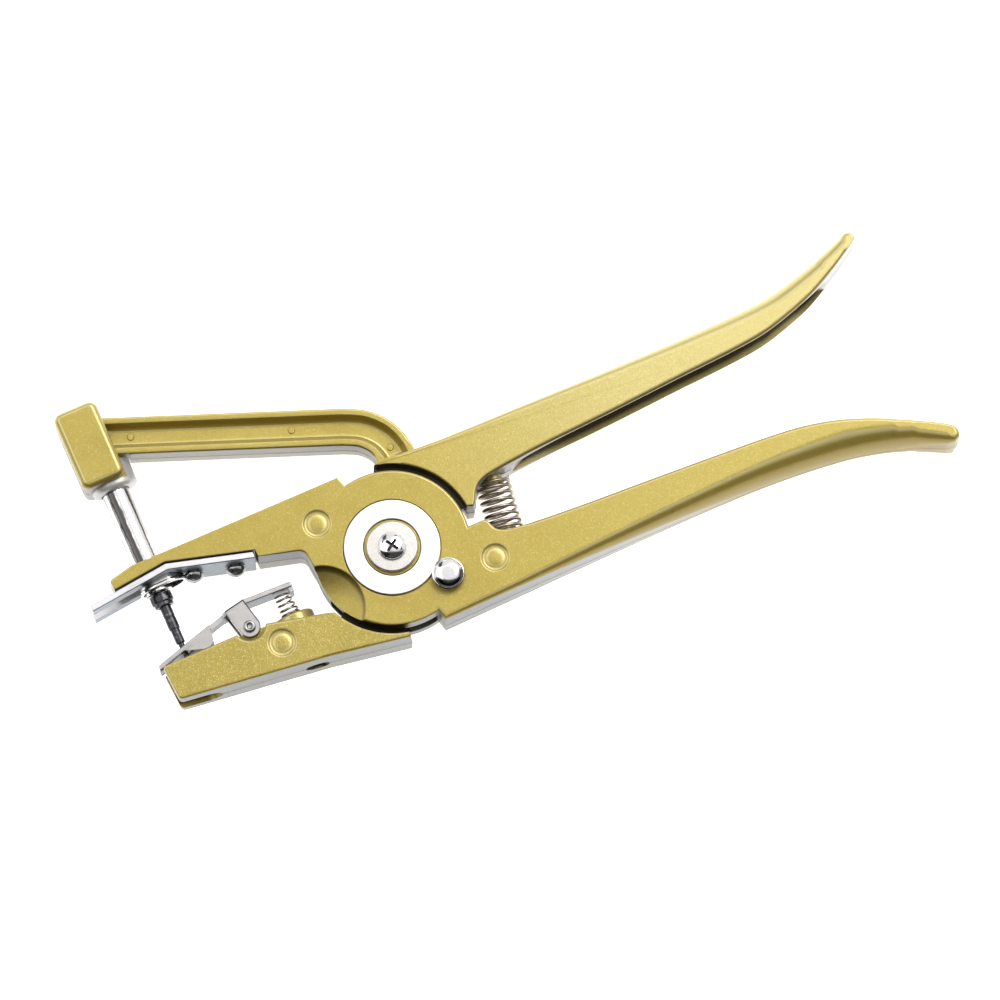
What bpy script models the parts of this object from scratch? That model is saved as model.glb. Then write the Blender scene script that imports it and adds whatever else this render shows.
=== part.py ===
"""Ear tag applicator: a cast plier with a punch arm, a hinged lower jaw and a sprung tag clip.

Every size below is in millimetres and becomes metres when a mesh is made. The tool lies flat on its back.
X runs along the tool towards the grips, Y points to the punch arm, Z is the pivot axis and points up.
Shapes are drawn in the tool frame, whose origin is the pivot axis at the middle of the castings' depth.
"""

import math

import bmesh
import bpy
from mathutils import Matrix, Vector

MM = 0.001

# Clearances
SEAT_GAP = 0.3          # between a piece and the face or bore that carries it
RUN_GAP = 0.3           # between sliding faces in the hub

# Castings and hub
CAST_DEPTH = 20.0       # along the pivot axis
HUB_R = 23.5            # round head of the main frame
HUB_GAP = 1.6           # from the head to the lever and to the lower jaw
LUG_R = 21.6            # discs of the lever and of the lower jaw inside the head
LUG_T = 3.7
EDGE_R = 0.9            # cast edge rounding
THIN_EDGE_R = 0.35      # the same on thin noses
NOSE_REACH = 8.0        # how far a thin nose reaches back from its tip
LEVER_SQUEEZE = 9.0     # degrees the upper lever swings shut
JAW_DROP = 22.0         # degrees the lower jaw drops open

# Angles round the hub, in degrees from +X
LEVER_SPAN = (5.6, 79.6)
JAW_SPAN = (205.3, 258.6)
LEDGE_ANGLE = 103.4
LEVER_NOSE = (HUB_R + 3.6, 1.8)  # corner of the upper lever that comes to rest over the frame's notch
SHOULDER_ANGLE = 282.0
WEB_INSET = 2.4
SWEEP_ROOM = 3.0
FACET_TURN = 2.7        # turns the facets of the lugs and their slot off those of the bores

# Pivot stack
BARREL_R = 4.0
BARREL_HEAD_T = 2.0
PIVOT_SCREW_R = 1.9
PIVOT_SCREW_HEAD_R = 4.2
PIVOT_SCREW_HEAD_H = 2.0
WASHER_ROOM = 1.0       # from the washer to the ring round it
WASHER_T = 1.4
RING_OUTER_R = 14.2
RING_WIDTH = 5.6
RING_T = 1.1
RING_SINK = 0.8

# Upper jaw
JAW_TOP_Y = 26.0
JAW_NOSE_X = -80.8
PLATE_T = 2.0
PLATE_WIDTH = 19.6
PLATE_FRONT = (-88.5, 19.6)
PLATE_BEND = (-63.2, 22.4)
PLATE_REAR = (-38.2, 15.35)
FORK_WIDTH = 8.0
JAW_SCREW_X = (-55.7, -43.7)
JAW_SCREW_R = 1.9
JAW_SCREW_HEAD_R = 2.6
JAW_SCREW_HEAD_H = 1.9
JAW_SCREW_GRIP = 3.4    # length of thread in the jaw

# Punch rod, its guide and the tag pin
ROD_X = -68.0
ROD_R = 4.2
ROD_TOP_Y = 68.0
ROD_END_Y = 16.6
ROD_ROOM = 0.4          # between the rod and its guide
BUSH_WALL = 0.5
BUSH_FLANGE = 0.4       # how far the flange stands out past the sleeve
BUSH_FLANGE_T = 1.3
COLLAR_R = 3.4
COLLAR_H = 4.0
PIN_R = 1.7
PIN_TIP_R = 0.9
PIN_END_Y = -6.0

# Upper lever: hammer block and arm
BLOCK_X = (-76.0, -63.0)
BLOCK_Y = (52.0, 75.5)
BLOCK_DEPTH = 20.6
BLOCK_R = 2.0
ARM_DEPTH = 14.0
ARM_HALF_WIDTH = 5.85
ARM_FLANGE = 2.1        # thickness of the arm's two flanges
ARM_WEB_T = 7.0
ARM_PATH = [(-64.0, 65.25), (1.0, HUB_R + 16.5), (6.6, HUB_R + 13.5), (10.6, HUB_R + 8.9),
            (12.3, HUB_R + 3.5), (12.4, HUB_R - 1.5)]

# Grips
GROOVE_WIDTH = 12.0
GROOVE_DEPTH = 5.0
GROOVE_X = (48.0, 148.0)
FRAME_GRIP_OUTER = [(5.7, -26.2), (30, -25.7), (60, -25.3), (90, -25.2), (115, -25.9), (137, -28.2),
                    (153, -32.4), (163.5, -36.8)]
FRAME_GRIP_TIP = [(165.6, -37.2), (167.6, -36.0), (168.0, -34.0)]
FRAME_GRIP_INNER = [(167.3, -32.6), (164, -30.2), (155, -25.2), (146, -20.7), (136, -17), (126, -14.7),
                    (115, -13.5), (99, -12.5), (77, -11.3), (55, -10.2), (40, -9.1)]
LEVER_GRIP_INNER = [(39.3, 9.1), (53.2, 10.3), (76, 11.5), (99, 13.0), (116, 14.0), (128, 15.4),
                    (140.7, 19.0), (148, 22.0), (155.5, 26.0), (162.4, 30.2)]
LEVER_GRIP_TIP = [(163.6, 31.3), (163.2, 33.0), (161.6, 34.1)]
LEVER_GRIP_OUTER = [(160, 33.6), (151, 30.6), (139, 27.4), (127, 25.4), (105, 24.5), (80, 24.3),
                    (50, 24.4), (26, HUB_R + 1.1), (6.5, HUB_R + 2.4)]
CROWN = [(0.0, 0.9), (30.0, 1.2), (95.0, 2.4), (135.0, 4.6), (155.0, 3.6), (168.0, 2.0)]

# Lower jaw
JAW_FRONT_X = -76.2
JAW_RIM_Y = -5.6
JAW_RIM_X = -44.0       # where the level rim starts to fall to the root
JAW_RIM_ANGLE = 200.9   # where it reaches the root, in degrees from +X
JAW_BOTTOM = [(-75.4, -17.0), (-30.0, -22.7)]
JAW_ROOT_ROOM = 0.4     # extra gap to the hub
JAW_ROOT_NOSE = (2.3, 4.4)  # rim's end past the start of the root: outwards in mm, back in degrees
JAW_END_NOSE = (1.9, 0.25)  # underside's end past the end of the root, the same way
CHANNEL_HALF = 5.6
CHANNEL_END_X = -54.5
CHANNEL_FLOOR_Y = -12.5
DRAIN_HALF = 2.6
DRAIN_END_X = -62.5
OVAL_HOLE_X = (-42.5, -36.0)
OVAL_HOLE_HALF = 2.4
OVAL_HOLE_DEPTH = 7.0
BOSS_X = -34.6
BOSS_R = 6.2
BOSS_TOP_Y = -5.4
BOSS_H = 7.0            # down to its foot inside the jaw

# Tag clip
CLIP_PIVOT = (-47.7, -4.3)
CLIP_T = 1.5
CLIP_HALF = 5.2
CLIP_TOP = [(-77.0, -4.2), (-58.6, 1.2), (-52.4, 3.0), (-47.0, 4.2), (-31.3, 3.6)]
CLIP_SLOT_HALF = 2.6
CLIP_SLOT_END_X = -62.5
CLIP_NECK_HALF = 3.4
CLIP_NECK_X = (-58.4, -53.6)
EAR_R = 3.2
EAR_T = 1.5
EAR_ROOM = 1.6
CLIP_PIN_R = 1.25
CLIP_PIN_HEAD_R = 1.8
CLIP_PIN_HEAD_H = 0.7
CLIP_LUG_HALF = 4.0

# Springs
MAIN_WIRE_R = 0.5
MAIN_COIL_R = 4.9
MAIN_TURNS = 9.0
MAIN_FOOT = (33.4, -8.9)
MAIN_HEAD = (35.9, 9.3)
SEAT_R = 6.1
PEG_R = 3.2
PEG_H = 3.0
CLIP_WIRE_R = 0.3
CLIP_COIL_R = (2.8, 2.1)
CLIP_TURNS = 4.5
LOCK_WIRE_R = 0.25
LOCK_TURNS = 3.0

# Lock button
BUTTON_AT = (11.9, -14.3)
BUTTON_HEAD_R = 4.8
BUTTON_LIP_T = 0.6
BUTTON_HEAD_H = 2.6
BUTTON_BODY_R = 3.4
BUTTON_STEM_R = 2.3
BUTTON_TRAVEL = 1.5
BUTTON_STEM_ROOM = 0.5
POCKET_DEPTH = 4.2
BUTTON_SLOT_ROOM = 1.0      # degrees of room past each end of the lugs' slots for the button's stem
BUTTON_NECK = 0.6       # depth of the stem's groove that holds the retaining ring
CLIP_RING_R = 3.2
CLIP_RING_T = 1.0
CLIP_RING_FLOAT = 0.15
BACK_POCKET_DEPTH = 3.0

# Cast marks: shallow dishes with a raised centre
DISH_R = 4.2
DISH_DEPTH = 0.6
FRAME_DISHES = [(-17.1, 16.5), (27.2, -14.6)]
JAW_DISH = (-40.7, -12.4)
SCOOP_AT = (-25.5, -8.6)
SCOOP_R = 12.0
SCOOP_DEPTH = 3.6

CUT_OVER = 1.0          # how far a cutter reaches past the face it opens
COIL_FACETS = 12

# Finish: colour, metallic, roughness
FINISHES = {
    "cast_paint": ((0.58, 0.46, 0.10), 0.35, 0.35),
    "steel": ((0.62, 0.63, 0.65), 1.0, 0.28),
    "chrome": ((0.80, 0.80, 0.82), 1.0, 0.08),
    "bare_aluminium": ((0.86, 0.86, 0.87), 1.0, 0.30),
    "black_steel": ((0.05, 0.05, 0.055), 0.9, 0.32),
    "spring_steel": ((0.45, 0.43, 0.40), 1.0, 0.25),
}

# Worked out from the above
HALF = CAST_DEPTH / 2
CONCAVE_R = HUB_R + HUB_GAP
RING_INNER_R = RING_OUTER_R - RING_WIDTH
WASHER_R = RING_INNER_R - WASHER_ROOM
BARREL_HEAD_R = WASHER_R
SLOT_HALF = LUG_T + RUN_GAP * 1.5
SLOT_R = LUG_R + RUN_GAP + 0.1
BARREL_BORE_R = BARREL_R + RUN_GAP
MID_Z = HALF + SEAT_GAP + BARREL_HEAD_T
JAW_ROOT_R = CONCAVE_R + JAW_ROOT_ROOM
BUTTON_ANGLE = math.degrees(math.atan2(BUTTON_AT[1], BUTTON_AT[0]))


class Shape:
    """A bmesh drawn in the tool frame, in millimetres."""

    def __init__(self):
        self.bm = bmesh.new()

    def ring(self, points):
        return [self.bm.verts.new(p) for p in points]

    def skin(self, lower, upper):
        """Joins two closed rings that have the same number of points."""
        count = len(lower)
        for i in range(count):
            j = (i + 1) % count
            self.bm.faces.new((lower[i], lower[j], upper[j], upper[i]))

    def cap(self, ring, flip=False):
        self.bm.faces.new(reversed(ring) if flip else ring)

    def turned(self, matrix):
        bmesh.ops.transform(self.bm, matrix=matrix, verts=self.bm.verts)
        return self


def rad(degrees):
    return math.radians(degrees)


def polar(radius, angle, centre=(0.0, 0.0)):
    return (centre[0] + radius * math.cos(rad(angle)), centre[1] + radius * math.sin(rad(angle)))


def arc(radius, start, end, count, centre=(0.0, 0.0)):
    """Points on an arc from one angle to another, both ends included."""
    return [polar(radius, start + (end - start) * i / (count - 1), centre) for i in range(count)]


def line_y(a, b, x):
    """Height at x of the straight line through a and b."""
    return a[1] + (b[1] - a[1]) * (x - a[0]) / (b[0] - a[0])


def smooth(points, per_span):
    """A Catmull-Rom curve through the points, with its two ends kept."""
    result = []
    last = len(points) - 1
    for i in range(last):
        before = Vector(points[max(i - 1, 0)])
        start, end = Vector(points[i]), Vector(points[i + 1])
        after = Vector(points[min(i + 2, last)])
        for k in range(per_span):
            t = k / per_span
            result.append(tuple(0.5 * (2 * start + (end - before) * t
                                       + (2 * before - 5 * start + 4 * end - after) * t * t
                                       + (3 * start - before - 3 * end + after) * t ** 3)))
    result.append(tuple(points[last]))
    return result


def crown_at(x):
    """Rounding of the outer side of a grip, which grows towards its tip."""
    for (x0, r0), (x1, r1) in zip(CROWN, CROWN[1:]):
        if x <= x1:
            return r0 + (r1 - r0) * max(0.0, x - x0) / (x1 - x0)
    return CROWN[-1][1]


def rounded_corner(before, corner, after, radius, count=4):
    """Points of a round corner between two straight edges."""
    to_before = (Vector(before) - Vector(corner)).normalized()
    to_after = (Vector(after) - Vector(corner)).normalized()
    half = to_before.angle(to_after) / 2
    reach = radius / math.tan(half)
    centre = Vector(corner) + (to_before + to_after).normalized() * radius / math.sin(half)
    start = Vector(corner) + to_before * reach - centre
    sweep = start.angle_signed(Vector(corner) + to_after * reach - centre)
    return [tuple(centre + Matrix.Rotation(-sweep * i / (count - 1), 2) @ start) for i in range(count)]


def with_edge(points, radius=EDGE_R):
    return [(x, y, radius) for x, y in points]


def with_crown(points):
    return [(x, y, crown_at(x)) for x, y in points]


def thinned(points, centre, reach):
    """Limits the edge rounding of the points that lie near a thin nose."""
    return [(x, y, min(r, THIN_EDGE_R) if math.dist((x, y), centre) < reach else r) for x, y, r in points]


def plate(outline, half_depth, steps=2):
    """A flat casting with rounded edges: each outline point (x, y, r) has its own edge radius."""
    shape = Shape()
    count = len(outline)
    inward = []
    for i in range(count):
        here = Vector(outline[i][:2])
        a = (here - Vector(outline[i - 1][:2])).normalized()
        b = (Vector(outline[(i + 1) % count][:2]) - here).normalized()
        mitre = Vector((-a.y - b.y, a.x + b.x)) / (1.0 + a.dot(b))
        inward.append(mitre * min(1.0, 1.6 / mitre.length))
    rings = []
    for side in (-1, 1):
        angles = [rad(90.0 * k / steps) for k in range(steps + 1)]
        for angle in (reversed(angles) if side < 0 else angles):
            ring = []
            for (x, y, r), normal in zip(outline, inward):
                inset = r * (1 - math.cos(angle))
                ring.append((x + normal.x * inset, y + normal.y * inset,
                             side * (half_depth - r + r * math.sin(angle))))
            rings.append(shape.ring(ring))
    for lower, upper in zip(rings, rings[1:]):
        shape.skin(lower, upper)
    shape.cap(rings[0], flip=True)
    shape.cap(rings[-1])
    return shape


def prism(points, low, high):
    """A straight extrusion of a counter-clockwise outline along Z."""
    shape = Shape()
    bottom = shape.ring([(x, y, low) for x, y in points])
    top = shape.ring([(x, y, high) for x, y in points])
    shape.skin(bottom, top)
    shape.cap(bottom, flip=True)
    shape.cap(top)
    return shape


def box(x, y, z):
    return prism([(x[0], y[0]), (x[1], y[0]), (x[1], y[1]), (x[0], y[1])], z[0], z[1])


def turned(profile, segments=32):
    """A solid turned round Z. The profile runs from the foot up the outside, as (radius, height).

    A profile that starts and ends on the axis is closed there, and any other is a ring.
    """
    shape = Shape()
    rings = []
    for radius, height in profile:
        if radius < 1e-6:
            rings.append([shape.bm.verts.new((0.0, 0.0, height))])
        else:
            rings.append(shape.ring([(*polar(radius, 360.0 * k / segments), height)
                                     for k in range(segments)]))
    pairs = list(zip(rings, rings[1:]))
    if len(rings[0]) > 1:
        pairs.append((rings[-1], rings[0]))
    for lower, upper in pairs:
        for k in range(segments):
            j = (k + 1) % segments
            if len(lower) == 1:
                shape.bm.faces.new((lower[0], upper[j], upper[k]))
            elif len(upper) == 1:
                shape.bm.faces.new((lower[k], lower[j], upper[0]))
            else:
                shape.bm.faces.new((lower[k], lower[j], upper[j], upper[k]))
    return shape


def cylinder(radius, low, high, segments=32):
    return turned([(0, low), (radius, low), (radius, high), (0, high)], segments)


def obround(half_length, half_width, low, high, segments=8):
    """A round-ended bar along X, extruded along Z."""
    reach = half_length - half_width
    right = arc(half_width, -90, 90, segments, (reach, 0.0))
    left = arc(half_width, 90, 270, segments, (-reach, 0.0))
    return prism(right + left, low, high)


def stand(direction, at):
    """Matrix that turns Z to a direction in the tool's plane and moves the origin to a point."""
    angle = math.atan2(direction[1], direction[0]) - math.pi / 2
    return (Matrix.Translation((at[0], at[1], 0.0)) @ Matrix.Rotation(angle, 4, "Z")
            @ Matrix.Rotation(-math.pi / 2, 4, "X"))


def coil(path, radii, wire, turns, per_turn=COIL_FACETS, sides=5):
    """A wire wound round a path; path and radii give the axis and the coil's radius for 0 to 1."""
    shape = Shape()
    steps = int(turns * per_turn)
    rings = []
    for i in range(steps + 1):
        t = i / steps
        centre, axis = path(t)
        across = Vector((0.0, 0.0, 1.0))
        beside = axis.cross(across).normalized()
        angle = 2 * math.pi * turns * t
        outward = beside * math.cos(angle) + across * math.sin(angle)
        middle = centre + outward * radii(t)
        ring = []
        for k in range(sides):
            turn = 2 * math.pi * k / sides
            ring.append(middle + (outward * math.cos(turn) + axis * math.sin(turn)) * wire)
        rings.append(shape.ring(ring))
    for lower, upper in zip(rings, rings[1:]):
        shape.skin(lower, upper)
    shape.cap(rings[0])
    shape.cap(rings[-1])
    bmesh.ops.recalc_face_normals(shape.bm, faces=shape.bm.faces)
    return shape


class Model:
    """Holds the bodies' empties and makes the shapes into named objects."""

    def __init__(self):
        self.empties = {}

    def body(self, name, axis_at, parent=None):
        """An empty on the joint's axis, which carries the body's pieces."""
        empty = bpy.data.objects.new(name + "_axis", None)
        bpy.context.collection.objects.link(empty)
        empty.location = Vector((axis_at[0], axis_at[1], MID_Z)) * MM
        self.empties[name] = empty
        if parent:
            empty.parent = self.empties[parent]
            empty.location -= self.empties[parent].matrix_world.translation
        bpy.context.view_layer.update()

    def link(self, name, shape, body):
        """Makes an object of the shape, with its origin on its body's axis."""
        empty = self.empties[body]
        origin = empty.matrix_world.translation / MM - Vector((0.0, 0.0, MID_Z))
        bmesh.ops.transform(shape.bm, verts=shape.bm.verts,
                            matrix=Matrix.Scale(MM, 4) @ Matrix.Translation(-origin))
        mesh = bpy.data.meshes.new(name)
        shape.bm.to_mesh(mesh)
        shape.bm.free()
        thing = bpy.data.objects.new(name, mesh)
        thing.parent = empty
        bpy.context.collection.objects.link(thing)
        return thing

    def piece(self, name, shape, body, finish, joins=(), cuts=(), pegs=()):
        """One piece of the tool: joins are added to the shape, then cuts taken away, then pegs added."""
        thing = self.link(name, shape, body)
        colour, metallic, roughness = FINISHES[finish]
        own = bpy.data.materials.new(name + "_" + finish)
        own.use_nodes = True
        shader = own.node_tree.nodes["Principled BSDF"]
        shader.inputs["Base Color"].default_value = (*colour, 1.0)
        shader.inputs["Metallic"].default_value = metallic
        shader.inputs["Roughness"].default_value = roughness
        thing.data.materials.append(own)
        thing.data.shade_smooth()
        thing.data.set_sharp_from_angle(angle=rad(35))
        for role, operation, shapes in (("join", "UNION", joins), ("cut", "DIFFERENCE", cuts),
                                        ("peg", "UNION", pegs)):
            for i, other in enumerate(shapes):
                guide = self.link(f"{name}_{role}_{i}", other, body)
                guide.hide_render = True
                guide.display_type = "WIRE"
                step = thing.modifiers.new(guide.name, "BOOLEAN")
                step.operation = operation
                step.object = guide


def plate_point(x, lift=0.0):
    """A point over the jaw plate's top face."""
    ends = (PLATE_FRONT, PLATE_BEND) if x < PLATE_BEND[0] else (PLATE_BEND, PLATE_REAR)
    return (x, line_y(*ends, x) + lift)


def notch_height():
    """Height of the frame's notch, just under the lever's nose when the grips are shut."""
    turn = rad(LEVER_SQUEEZE)
    return LEVER_NOSE[1] * math.cos(turn) - LEVER_NOSE[0] * math.sin(turn) - 1.5 * SEAT_GAP


def frame_outline():
    """Main frame, counter-clockwise from the shoulder under the hub."""
    notch = notch_height()
    notch_angle = math.degrees(math.asin(notch / HUB_R))
    step = plate_point(PLATE_REAR[0] + 2 * SEAT_GAP, SEAT_GAP)
    throat = (-24.0, 9.4)
    points = with_edge([polar(HUB_R, SHOULDER_ANGLE)])
    points += with_crown(smooth(FRAME_GRIP_OUTER, 3))
    points += with_crown(FRAME_GRIP_TIP)
    points += with_edge(smooth(FRAME_GRIP_INNER, 2), 1.2)
    notch_root = [(9.5, -8.2), (6.9, -6.6), (5.7, notch - 0.9), (4.3, notch)]
    points += with_edge([(HUB_R + x, y) for x, y in notch_root], 0.7)
    points += with_edge(arc(HUB_R, notch_angle, LEDGE_ANGLE, 26))
    points += with_edge([(-6.4, JAW_TOP_Y), (ROD_X - 5.2, JAW_TOP_Y), (JAW_NOSE_X + 0.7, 24.4),
                         (JAW_NOSE_X, 23.0)])
    points += with_edge([plate_point(JAW_NOSE_X + 0.6, SEAT_GAP), plate_point(PLATE_BEND[0], SEAT_GAP)], 0.5)
    points += with_edge([step, (step[0] + 0.2, step[1] - PLATE_T - SEAT_GAP)], 0.3)
    points += with_edge(rounded_corner((step[0], step[1] - PLATE_T), throat, (-24.1, 4.0), 2.6), 0.7)
    points += with_edge(arc(HUB_R, 176, SHOULDER_ANGLE, 24)[:-1], 0.7)
    return points


def lever_outline():
    """Grip and root of the upper lever, counter-clockwise from the nose beside the ledge."""
    points = with_edge(arc(CONCAVE_R, LEVER_SPAN[1], LEVER_SPAN[0], 18), 0.7)
    nose_root = [(4.7, 3.2), (6.1, 5.8), (7.9, 7.6), (10.7, 8.7)]
    points += with_edge([LEVER_NOSE] + [(HUB_R + x, y) for x, y in nose_root], 0.7)
    points += with_edge(smooth(LEVER_GRIP_INNER, 2), 1.2)
    points += with_crown(LEVER_GRIP_TIP)
    points += with_crown(smooth(LEVER_GRIP_OUTER, 3))
    return thinned(points, polar(CONCAVE_R, LEVER_SPAN[1]), NOSE_REACH)


def jaw_underside():
    """Underside of the lower jaw: straight towards the hub, then round it where the root reaches on."""
    radius = JAW_ROOT_R + JAW_END_NOSE[0]
    end = JAW_SPAN[1] + JAW_END_NOSE[1]
    bend = Vector(JAW_BOTTOM[-1])
    touch = math.degrees(math.atan2(bend.y, bend.x) + math.acos(radius / bend.length)) % 360
    follow = arc(radius, touch, end, 10) if end > touch else [polar(radius, end)]
    return JAW_BOTTOM + follow


def jaw_rim():
    """Rim of the lower jaw from the root to its front: round the hub first, where the root reaches up."""
    radius = JAW_ROOT_R + JAW_ROOT_NOSE[0]
    start = JAW_SPAN[0] - JAW_ROOT_NOSE[1]
    follow = arc(radius, start, JAW_RIM_ANGLE, 10) if start < JAW_RIM_ANGLE - 1 else [polar(radius, start)]
    return follow + [(JAW_RIM_X, JAW_RIM_Y), (JAW_FRONT_X, JAW_RIM_Y)]


def lower_jaw_outline():
    """Lower jaw, counter-clockwise from its lower front corner."""
    corner = (JAW_FRONT_X, JAW_RIM_Y)
    points = with_edge(rounded_corner(corner, JAW_BOTTOM[0], JAW_BOTTOM[1], 1.5, 3))
    points += with_edge(jaw_underside()[1:])
    points += with_edge(arc(JAW_ROOT_R, JAW_SPAN[1], JAW_SPAN[0], 16), 0.6)
    points += with_edge(jaw_rim())
    return points


def hub_lug(low, high, span, slot_span):
    """Disc inside the hub, with the web that carries the outer part, and the cutters for its bores."""
    start, end = span[0] + WEB_INSET, span[1] - WEB_INSET
    inner = LUG_R - 4.0
    outer = CONCAVE_R + 1.6
    web = arc(outer, start, end, 14) + arc(inner, end, start, 14)
    disc = cylinder(LUG_R, low, high, 42).turned(Matrix.Rotation(rad(FACET_TURN), 4, "Z"))
    bore = cylinder(BARREL_BORE_R, low - 1, high + 1, 28)
    reach = math.hypot(*BUTTON_AT)
    half = BUTTON_STEM_R + BUTTON_STEM_ROOM
    slot = (arc(reach + half, slot_span[0], slot_span[1], 8)
            + arc(half, slot_span[1], slot_span[1] + 180, 6, polar(reach, slot_span[1]))[1:-1]
            + arc(reach - half, slot_span[1], slot_span[0], 8)
            + arc(half, slot_span[0] + 180, slot_span[0] + 360, 6, polar(reach, slot_span[0]))[1:-1])
    return disc, prism(web, low + 0.05, high - 0.05), bore, prism(slot, low - 1, high + 1)


def dish(at, side):
    """Cutter for a shallow round mark with a raised centre, on the front (1) or back (-1) face."""
    profile = [(0, -0.15), (1.5, -0.2), (2.4, -DISH_DEPTH), (3.1, -DISH_DEPTH), (DISH_R, 0.05),
               (DISH_R + 0.1, 1.0), (0, 1.0)]
    place = Matrix.Translation((at[0], at[1], side * HALF))
    if side < 0:
        place = place @ Matrix.Rotation(math.pi, 4, "X")
    return turned(profile, 16).turned(place)


def scoop(side):
    """Cutter for the smooth hollow where the hub meets the throat."""
    ball_r = (SCOOP_R ** 2 + SCOOP_DEPTH ** 2) / (2 * SCOOP_DEPTH)
    span = math.asin(SCOOP_R / ball_r)
    profile = [(ball_r * math.sin(span * k / 4), ball_r * (1 - math.cos(span * k / 4)) - SCOOP_DEPTH)
               for k in range(5)]
    profile += [(SCOOP_R + 1.0, 1.5), (0.0, 1.5)]
    place = Matrix.Translation((*SCOOP_AT, side * HALF))
    if side < 0:
        place = place @ Matrix.Rotation(math.pi, 4, "X")
    return turned(profile, 26).turned(place)


def groove(edge, inward):
    """Cutter for the long open groove in the inner side of a grip, full depth past its end ramps."""
    rim = sorted((x, y) for x, y in smooth(edge, 2) if GROOVE_X[0] <= x <= GROOVE_X[1])
    ramp = (len(rim) - 1) / 4
    floor = [(x, y + inward * GROOVE_DEPTH * min(1.0, i / ramp, (len(rim) - 1 - i) / ramp))
             for i, (x, y) in enumerate(rim)]
    over = [(x, y - inward * 3 * CUT_OVER) for x, y in rim]
    outline = over + floor[::-1] if inward > 0 else floor + over[::-1]
    return prism(outline, -GROOVE_WIDTH / 2, GROOVE_WIDTH / 2)


def spring_axis():
    return (Vector(MAIN_HEAD) - Vector(MAIN_FOOT)).normalized()


def spring_seat(at, outward):
    """Cutter for a flat round seat of the main spring, and the peg that stands on it."""
    seat = cylinder(SEAT_R, 0.0, 9.0, 24)
    peg = cylinder(PEG_R, -1.5, PEG_H, 20)
    return seat.turned(stand(outward, at)), peg.turned(stand(outward, at))


def plate_normal():
    """Unit vector out of the rear part of the jaw plate's underside."""
    along = (Vector(PLATE_REAR) - Vector(PLATE_BEND)).normalized()
    return Vector((along.y, -along.x))


def rod_guide_span():
    """Where the rod reaches along X at the guide, from rest to fully squeezed."""
    turn = rad(LEVER_SQUEEZE)
    height = JAW_TOP_Y + 1.6
    along = (height + ROD_X * math.sin(turn)) / math.cos(turn)
    moved = ROD_X * math.cos(turn) + along * math.sin(turn)
    return (ROD_X - ROD_R - ROD_ROOM, moved + ROD_R / math.cos(turn) + ROD_ROOM)


def guide_slot():
    """Cutter for the slot that the guide bush sits in, through the upper jaw and its plate."""
    low, high = rod_guide_span()
    grown = BUSH_WALL + SEAT_GAP
    slot = obround((high - low) / 2 + grown, ROD_R + ROD_ROOM + grown, PLATE_REAR[1] - 4, JAW_TOP_Y + 6)
    return slot.turned(stand((0, 1), ((low + high) / 2, 0.0)))


def button_slot(squeeze, drop):
    """Angles round the hub that a lug's slot spans, so that the button's stem stays clear of its ends."""
    return (BUTTON_ANGLE - drop - BUTTON_SLOT_ROOM, BUTTON_ANGLE + squeeze + BUTTON_SLOT_ROOM)


def add_frame(model):
    """Main frame: upper jaw, hub head and lower grip in one casting."""
    room_lever = (LEVER_SPAN[0] + WEB_INSET - LEVER_SQUEEZE - SWEEP_ROOM,
                  LEVER_SPAN[1] - WEB_INSET + SWEEP_ROOM)
    room_jaw = (JAW_SPAN[0] + WEB_INSET - LEVER_SQUEEZE - SWEEP_ROOM,
                JAW_SPAN[1] - WEB_INSET + JAW_DROP + SWEEP_ROOM)
    through = (-HALF - CUT_OVER, HALF + CUT_OVER)
    cuts = [cylinder(BARREL_BORE_R, *through, 26)]
    for side in (-1, 1):
        floor = HALF - RING_SINK
        ring = turned([(RING_INNER_R - SEAT_GAP, floor), (RING_OUTER_R + SEAT_GAP, floor),
                       (RING_OUTER_R + SEAT_GAP, through[1]), (RING_INNER_R - SEAT_GAP, through[1])], 40)
        cuts.append(ring if side > 0 else ring.turned(Matrix.Rotation(math.pi, 4, "X")))
        cuts.append(scoop(side))
        cuts += [dish(at, side) for at in FRAME_DISHES]
    hollow = cylinder(SLOT_R, -SLOT_HALF, SLOT_HALF, 46)
    cuts.append(hollow.turned(Matrix.Rotation(rad(FACET_TURN), 4, "Z")))
    for low, high in (room_lever, room_jaw):
        sector = arc(HUB_R + 2.5, low, high, 14) + arc(SLOT_R - 3.0, high, low, 14)
        cuts.append(prism(sector, -SLOT_HALF + 0.02, SLOT_HALF - 0.02))
    cuts.append(guide_slot())
    for x in JAW_SCREW_X:
        hole = cylinder(JAW_SCREW_R + SEAT_GAP, -CUT_OVER, JAW_SCREW_GRIP + 3 * SEAT_GAP, 16)
        cuts.append(hole.turned(stand(-plate_normal(), plate_point(x))))
    pocket_r = BUTTON_BODY_R + SEAT_GAP
    move = Matrix.Translation((*BUTTON_AT, 0.0))
    cuts.append(cylinder(BUTTON_STEM_R + SEAT_GAP, *through, 20).turned(move))
    cuts.append(cylinder(pocket_r, HALF - POCKET_DEPTH, through[1], 24).turned(move))
    cuts.append(cylinder(pocket_r, through[0], -HALF + BACK_POCKET_DEPTH, 24).turned(move))
    cuts.append(groove(FRAME_GRIP_INNER, -1))
    seat, peg = spring_seat(MAIN_FOOT, spring_axis())
    model.piece("main_frame", plate(frame_outline(), HALF), "frame", "cast_paint", cuts=cuts + [seat],
                pegs=[peg])


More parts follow.
